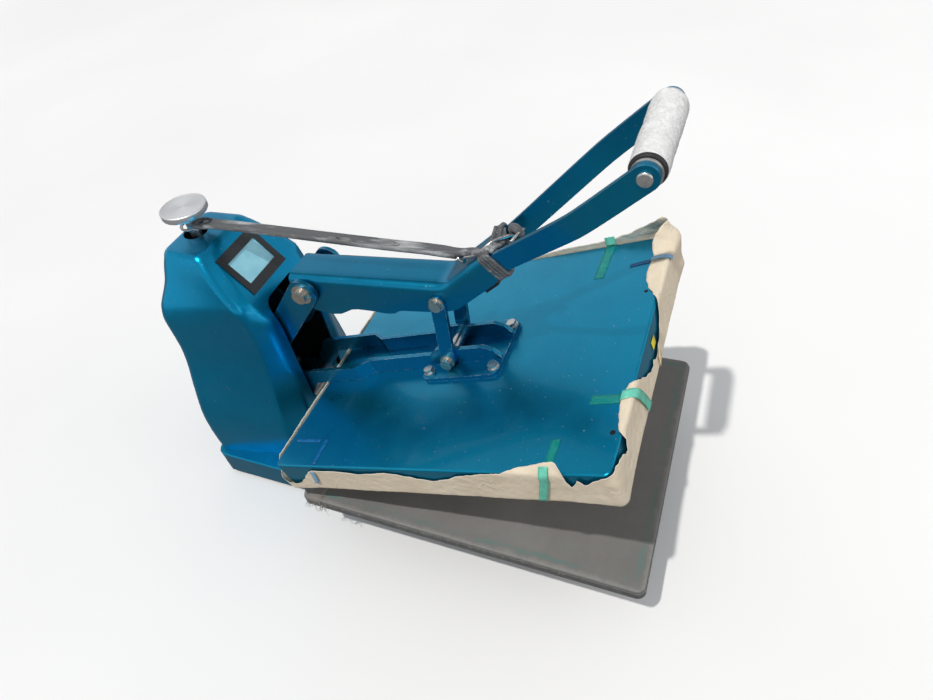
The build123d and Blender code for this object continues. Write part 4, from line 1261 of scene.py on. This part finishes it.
def make_strap():
    """The free span, the rear hook, the turns round the arms and the wires at their front."""
    rubber_look = MATERIALS["strap_rubber"]
    # the span: a flat tongue at the rear eye, two ribs for most of its length, narrower at the front eye
    line = smooth_line([(0, 414, 437.5), (0, 398, 438.6), (0, 380, 439.4), (0, 340, 440.2), (0, 290, 440.4),
                        (0, 230, 440.6), (0, 170, 441.0), (0, 110, 441.6), (0, 75, 442.6), (-1, 52, 443.4),
                        (-2, 34, 443.6), (-3, 24, 443.4)], 6)

    def grow(t):
        rear = 1.22 - 0.22 * min(1.0, t / 0.12)
        front = 1.0 - 0.18 * max(0.0, (t - 0.86) / 0.14)
        return rear * front, 1.0 + 0.2 * max(0.0, 1 - t / 0.05)

    span = sweep(line, rib_section(9.6, 7.2), (0, 0, 1), widen=grow)
    badge = [Vector((0, 196 - 17 * k, 443.9)) for k in range(6)]
    plate = sweep(badge, rounded_section(6.6, 1.0, 0.9), (0, 0, 1),
                  widen=lambda t: (math.sqrt(max(0.04, 1 - (2 * t - 1) ** 4)), 1.0))
    ring = [Vector((6.2 * u, 147 + 42 * v, 444.8)) for u, v in circle(1.0, 40)]
    rim = sweep(ring, circle(0.7, 6), (0, 0, 1), closed=True)
    rear_eye = torus((0, 420, 437.2), (0.1, 0, 1), 9.0, 5.0, 4.0)
    front_eye = torus((-4, 22, 442.5), (1, 0.1, 0.9), 3.9, 2.3, 3.0)
    points, faces = merge(span, plate, rim, rear_eye, front_eye)
    strap = make_piece("strap_ribbed", points, faces, rubber_look, None, "strap_rubber")
    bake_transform(strap)
    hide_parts("strap_span")
    # steel hook on the knob stem
    wire = circle(2.0, 10)
    bow = [(15 * math.cos(math.radians(d)), SCREW_Y + 15 * math.sin(math.radians(d)), 433)
           for d in range(-50, 231, 20)]
    hook = smooth_line([(-1, 414, 441), (4, 409, 438), (9, 413, 434.5), (11, 422, 433)] + bow
                       + [(-11, 426, 433), (-11, 418, 434)], 4)
    shape = sweep(hook, wire, (0, 0, 1))
    made = make_piece("strap_hook_steel", *shape, MATERIALS["wire"], "press_body", "wire")
    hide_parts("strap_hook_rear")
    # loops round both arms, the strands that cross between them and the eye at the far arm
    near_a = loop_round_arm(-1, 78.5, 9.5, 5.2, lean=1.0, bulge=2.0)
    near_b = loop_round_arm(-1, 88.5, 9.5, 6.2, lean=1.0, bulge=3.0)
    far_a = loop_round_arm(1, 87, 12.0, 6.0, lean=-3.0, bulge=3.0)
    cross = arm_line((80, -4, -25), (81, -3, -14), (84, 0, -2), (86, -2, 10), (88, -5, 23))
    strand = sweep(cross, rib_section(6.6, 6.0), (0, -0.4, 1))
    lower = arm_line((90, -4, -24), (91, -3, -13), (93, 2, -2), (94, 2, 8), (91, -3.5, 22))
    second = sweep(lower, rib_section(5.2, 5.0), (0, -0.4, 1))
    tie = smooth_line([(0, 66, 443), (-1, 44, 445), (-3, 20, 447), arm_point(56, -14, -8),
                       arm_point(68, -10, -13), arm_point(80, -4.5, -20)], 6)
    third = sweep(tie, rib_section(6.4, 5.6), (0, 0, 1),
                  widen=lambda t: (min(1.0, 0.5 + 3 * t), min(1.0, 0.3 + 4 * t)))
    far_eye = torus(arm_point(111, 7.5, 11.5), (1, -0.55, 0.3), 6.6, 4.6, 5.4)
    inner = torus(arm_point(111, 7.5, 8.0), (1, -0.55, 0.3), 6.0, 2.6, 2.8)
    points, faces = merge(near_a, near_b, far_a, strand, second, third, far_eye, inner)
    wrap = make_piece("strap_loops", points, faces, rubber_look, "handle_lever", "strap_rubber")
    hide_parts("strap_wrap")
    first = smooth_line([(-3, 27, 446), (-7, 23, 443), (-10, 19, 440.5), (-13, 12, 441),
                         arm_point(50, -13, -15), arm_point(62, -10, -18), arm_point(72, -8, -20)], 6)
    run = arm_line((72, -6, -20), (81, -7.5, -15), (90, -6, -8), (97, -1.5, -1), (104, 4, 5), (109, 8, 10))
    tail = arm_line((120, 11, 14), (119, 8.5, 8), (114, 8, 0), (109, 8, -7))
    points, faces = merge(*(sweep(path, wire, (1, 0, 0)) for path in (first, run, tail)))
    hooks = make_piece("strap_wire_hooks", points, faces, MATERIALS["wire"], "handle_lever", "wire")
    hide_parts("strap_hook_front")


# ---- grip ----
FILM_HALF = 58.5
FILM_R = (17.1, 19.0)
FOAM_HALF = 61.5
FOAM_R = 16.7


def make_grip():
    """Foam sleeve and the crinkled film wound over it."""
    centre = arm_point(GRIP_S, ARM_W / 2)
    count, steps = 72, 60
    points = []
    for k in range(steps + 1):
        x = FILM_HALF * (2 * k / steps - 1)
        end = min(k, steps - k) / steps
        for v, w in circle(1.0, count):
            direction = Vector((0, v, w))
            spot = centre + direction * 16
            twist = Vector((x * 0.9, spot.y, spot.z))
            crease = 0.55 * folds(twist, 0.11, 3.0) + 0.4 * folds(twist, 0.24, 8.0)
            radius = 17.6 + crease * 0.8 + 0.7 * crumple(twist, 0.06, 5.0) + x * 0.008
            radius = min(FILM_R[1], max(FILM_R[0], radius - max(0.0, 0.03 - end) * 24))
            points.append(centre + direction * radius + Vector((x, 0, 0)))
    faces = grid_faces(steps + 1, count, wrap=True)
    wound = make_piece("grip_film_wound", points, faces, MATERIALS["film"], "handle_lever", "film")
    skin = wound.modifiers.new("film", "SOLIDIFY")
    skin.thickness = 0.0003
    skin.offset = 1
    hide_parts("grip_film")
    half, lip = FOAM_HALF, 2.6
    run = half - lip
    wavy = [(FOAM_R + 0.12 * math.sin(k * 2.1), -run + 2 * run * k / 40) for k in range(1, 40)]
    ends = [(11.6, half), (15.2, half), (16.3, half - 1.0), (FOAM_R, half - lip)]
    profile = [(radius, -at) for radius, at in ends] + wavy + ends[::-1]
    shape = turned(profile, 56, Matrix.Translation(centre) @ Matrix.Rotation(math.radians(90), 4, "Y"))
    foam = make_piece("grip_sleeve", *shape, MATERIALS["foam"], "handle_lever", "foam")
    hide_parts("grip_foam")


# ---- carried-over CAD nodes ----
SOFT_EDGES = {
    0.0: ("plinth_cover", "platen_cover"),
    0.6: ("frame_plate_left", "frame_plate_right", "screw_bracket"),
    0.8: ("lower_platen", "base_cross_rear", "support_plate"),
    0.9: ("platen_arm_left", "platen_arm_right", "yoke_plate_left", "yoke_plate_right"),
    1.0: ("link_left", "link_right", "bracket_plate"),
    1.2: ("platen_pad", "bump_stop"),
    1.5: ("base_rail_left", "base_rail_right", "base_cross_front", "platen_supports"),
}
OTHER_EDGES = 0.5


def dress_nodes():
    """Gives every CAD node its slot's material and rounds its sharp edges."""
    slots = {item["node"]: item["material_slot"] for item in frame["record"]["subparts"]}
    widths = {name: width for width, names in SOFT_EDGES.items() for name in names}
    for name, made in frame["nodes"].items():
        made.data.materials.clear()
        made.data.materials.append(MATERIALS["worn_paint" if name in WORN_NODES else slots[name]])
        width = widths.get(name, OTHER_EDGES)
        if width > 0:
            soften(made, width, 2, 40.0)


# ---- small screws, floor and the order of making ----
def make_small_screws():
    """Dark screws sunk in the cover's front edge and a pale one in the lever's web."""
    for name, x, y, radius in (("cover_screw_right", 85, -236, 1.5), ("cover_screw_left", -147, -243, 2.0)):
        profile = [(radius + 1.2, 0.0), (radius + 0.9, 0.45), (radius, 0.3), (radius * 0.5, 0.2), (0.3, 0.18)]
        shape = turned(profile, 24, Matrix.Translation((x, y, COVER_Z)))
        make_piece(name, *shape, MATERIALS["dark_steel"], "upper_platen", "dark_steel", turn=OPEN)
    profile = [(3.9, 0.0), (3.9, 0.6), (3.2, 1.3), (1.9, 1.7), (1.5, 1.1), (0.2, 1.0)]
    shape = turned(profile, 24, Matrix.Translation((3, 59, BEND.z)))
    make_piece("web_screw", *shape, MATERIALS["bright_steel"], "handle_lever", "bright_steel")


def make_floor():
    """A plain pale floor."""
    size, drop = 30.0, -0.0005
    mesh = bpy.data.meshes.new("floor")
    corners = ((-1, -1), (1, -1), (1, 1), (-1, 1))
    mesh.from_pydata([(x * size, y * size, drop) for x, y in corners], [], [(0, 1, 2, 3)])
    mesh.materials.append(floor_material())
    made = bpy.data.objects.new("floor", mesh)
    bpy.context.scene.collection.objects.link(made)
    # the object is lit and mirrored as if the ground round it were darker than the floor looks
    made.visible_diffuse = False
    made.visible_glossy = False
    made.visible_shadow = False


make_camera()
make_light()
make_floor()
dress_nodes()
make_housing()
make_lever()
paper_wrap_piece = paper_wrap()
make_tapes()
make_pad()
make_knob()
make_strap()
make_grip()
make_small_screws()
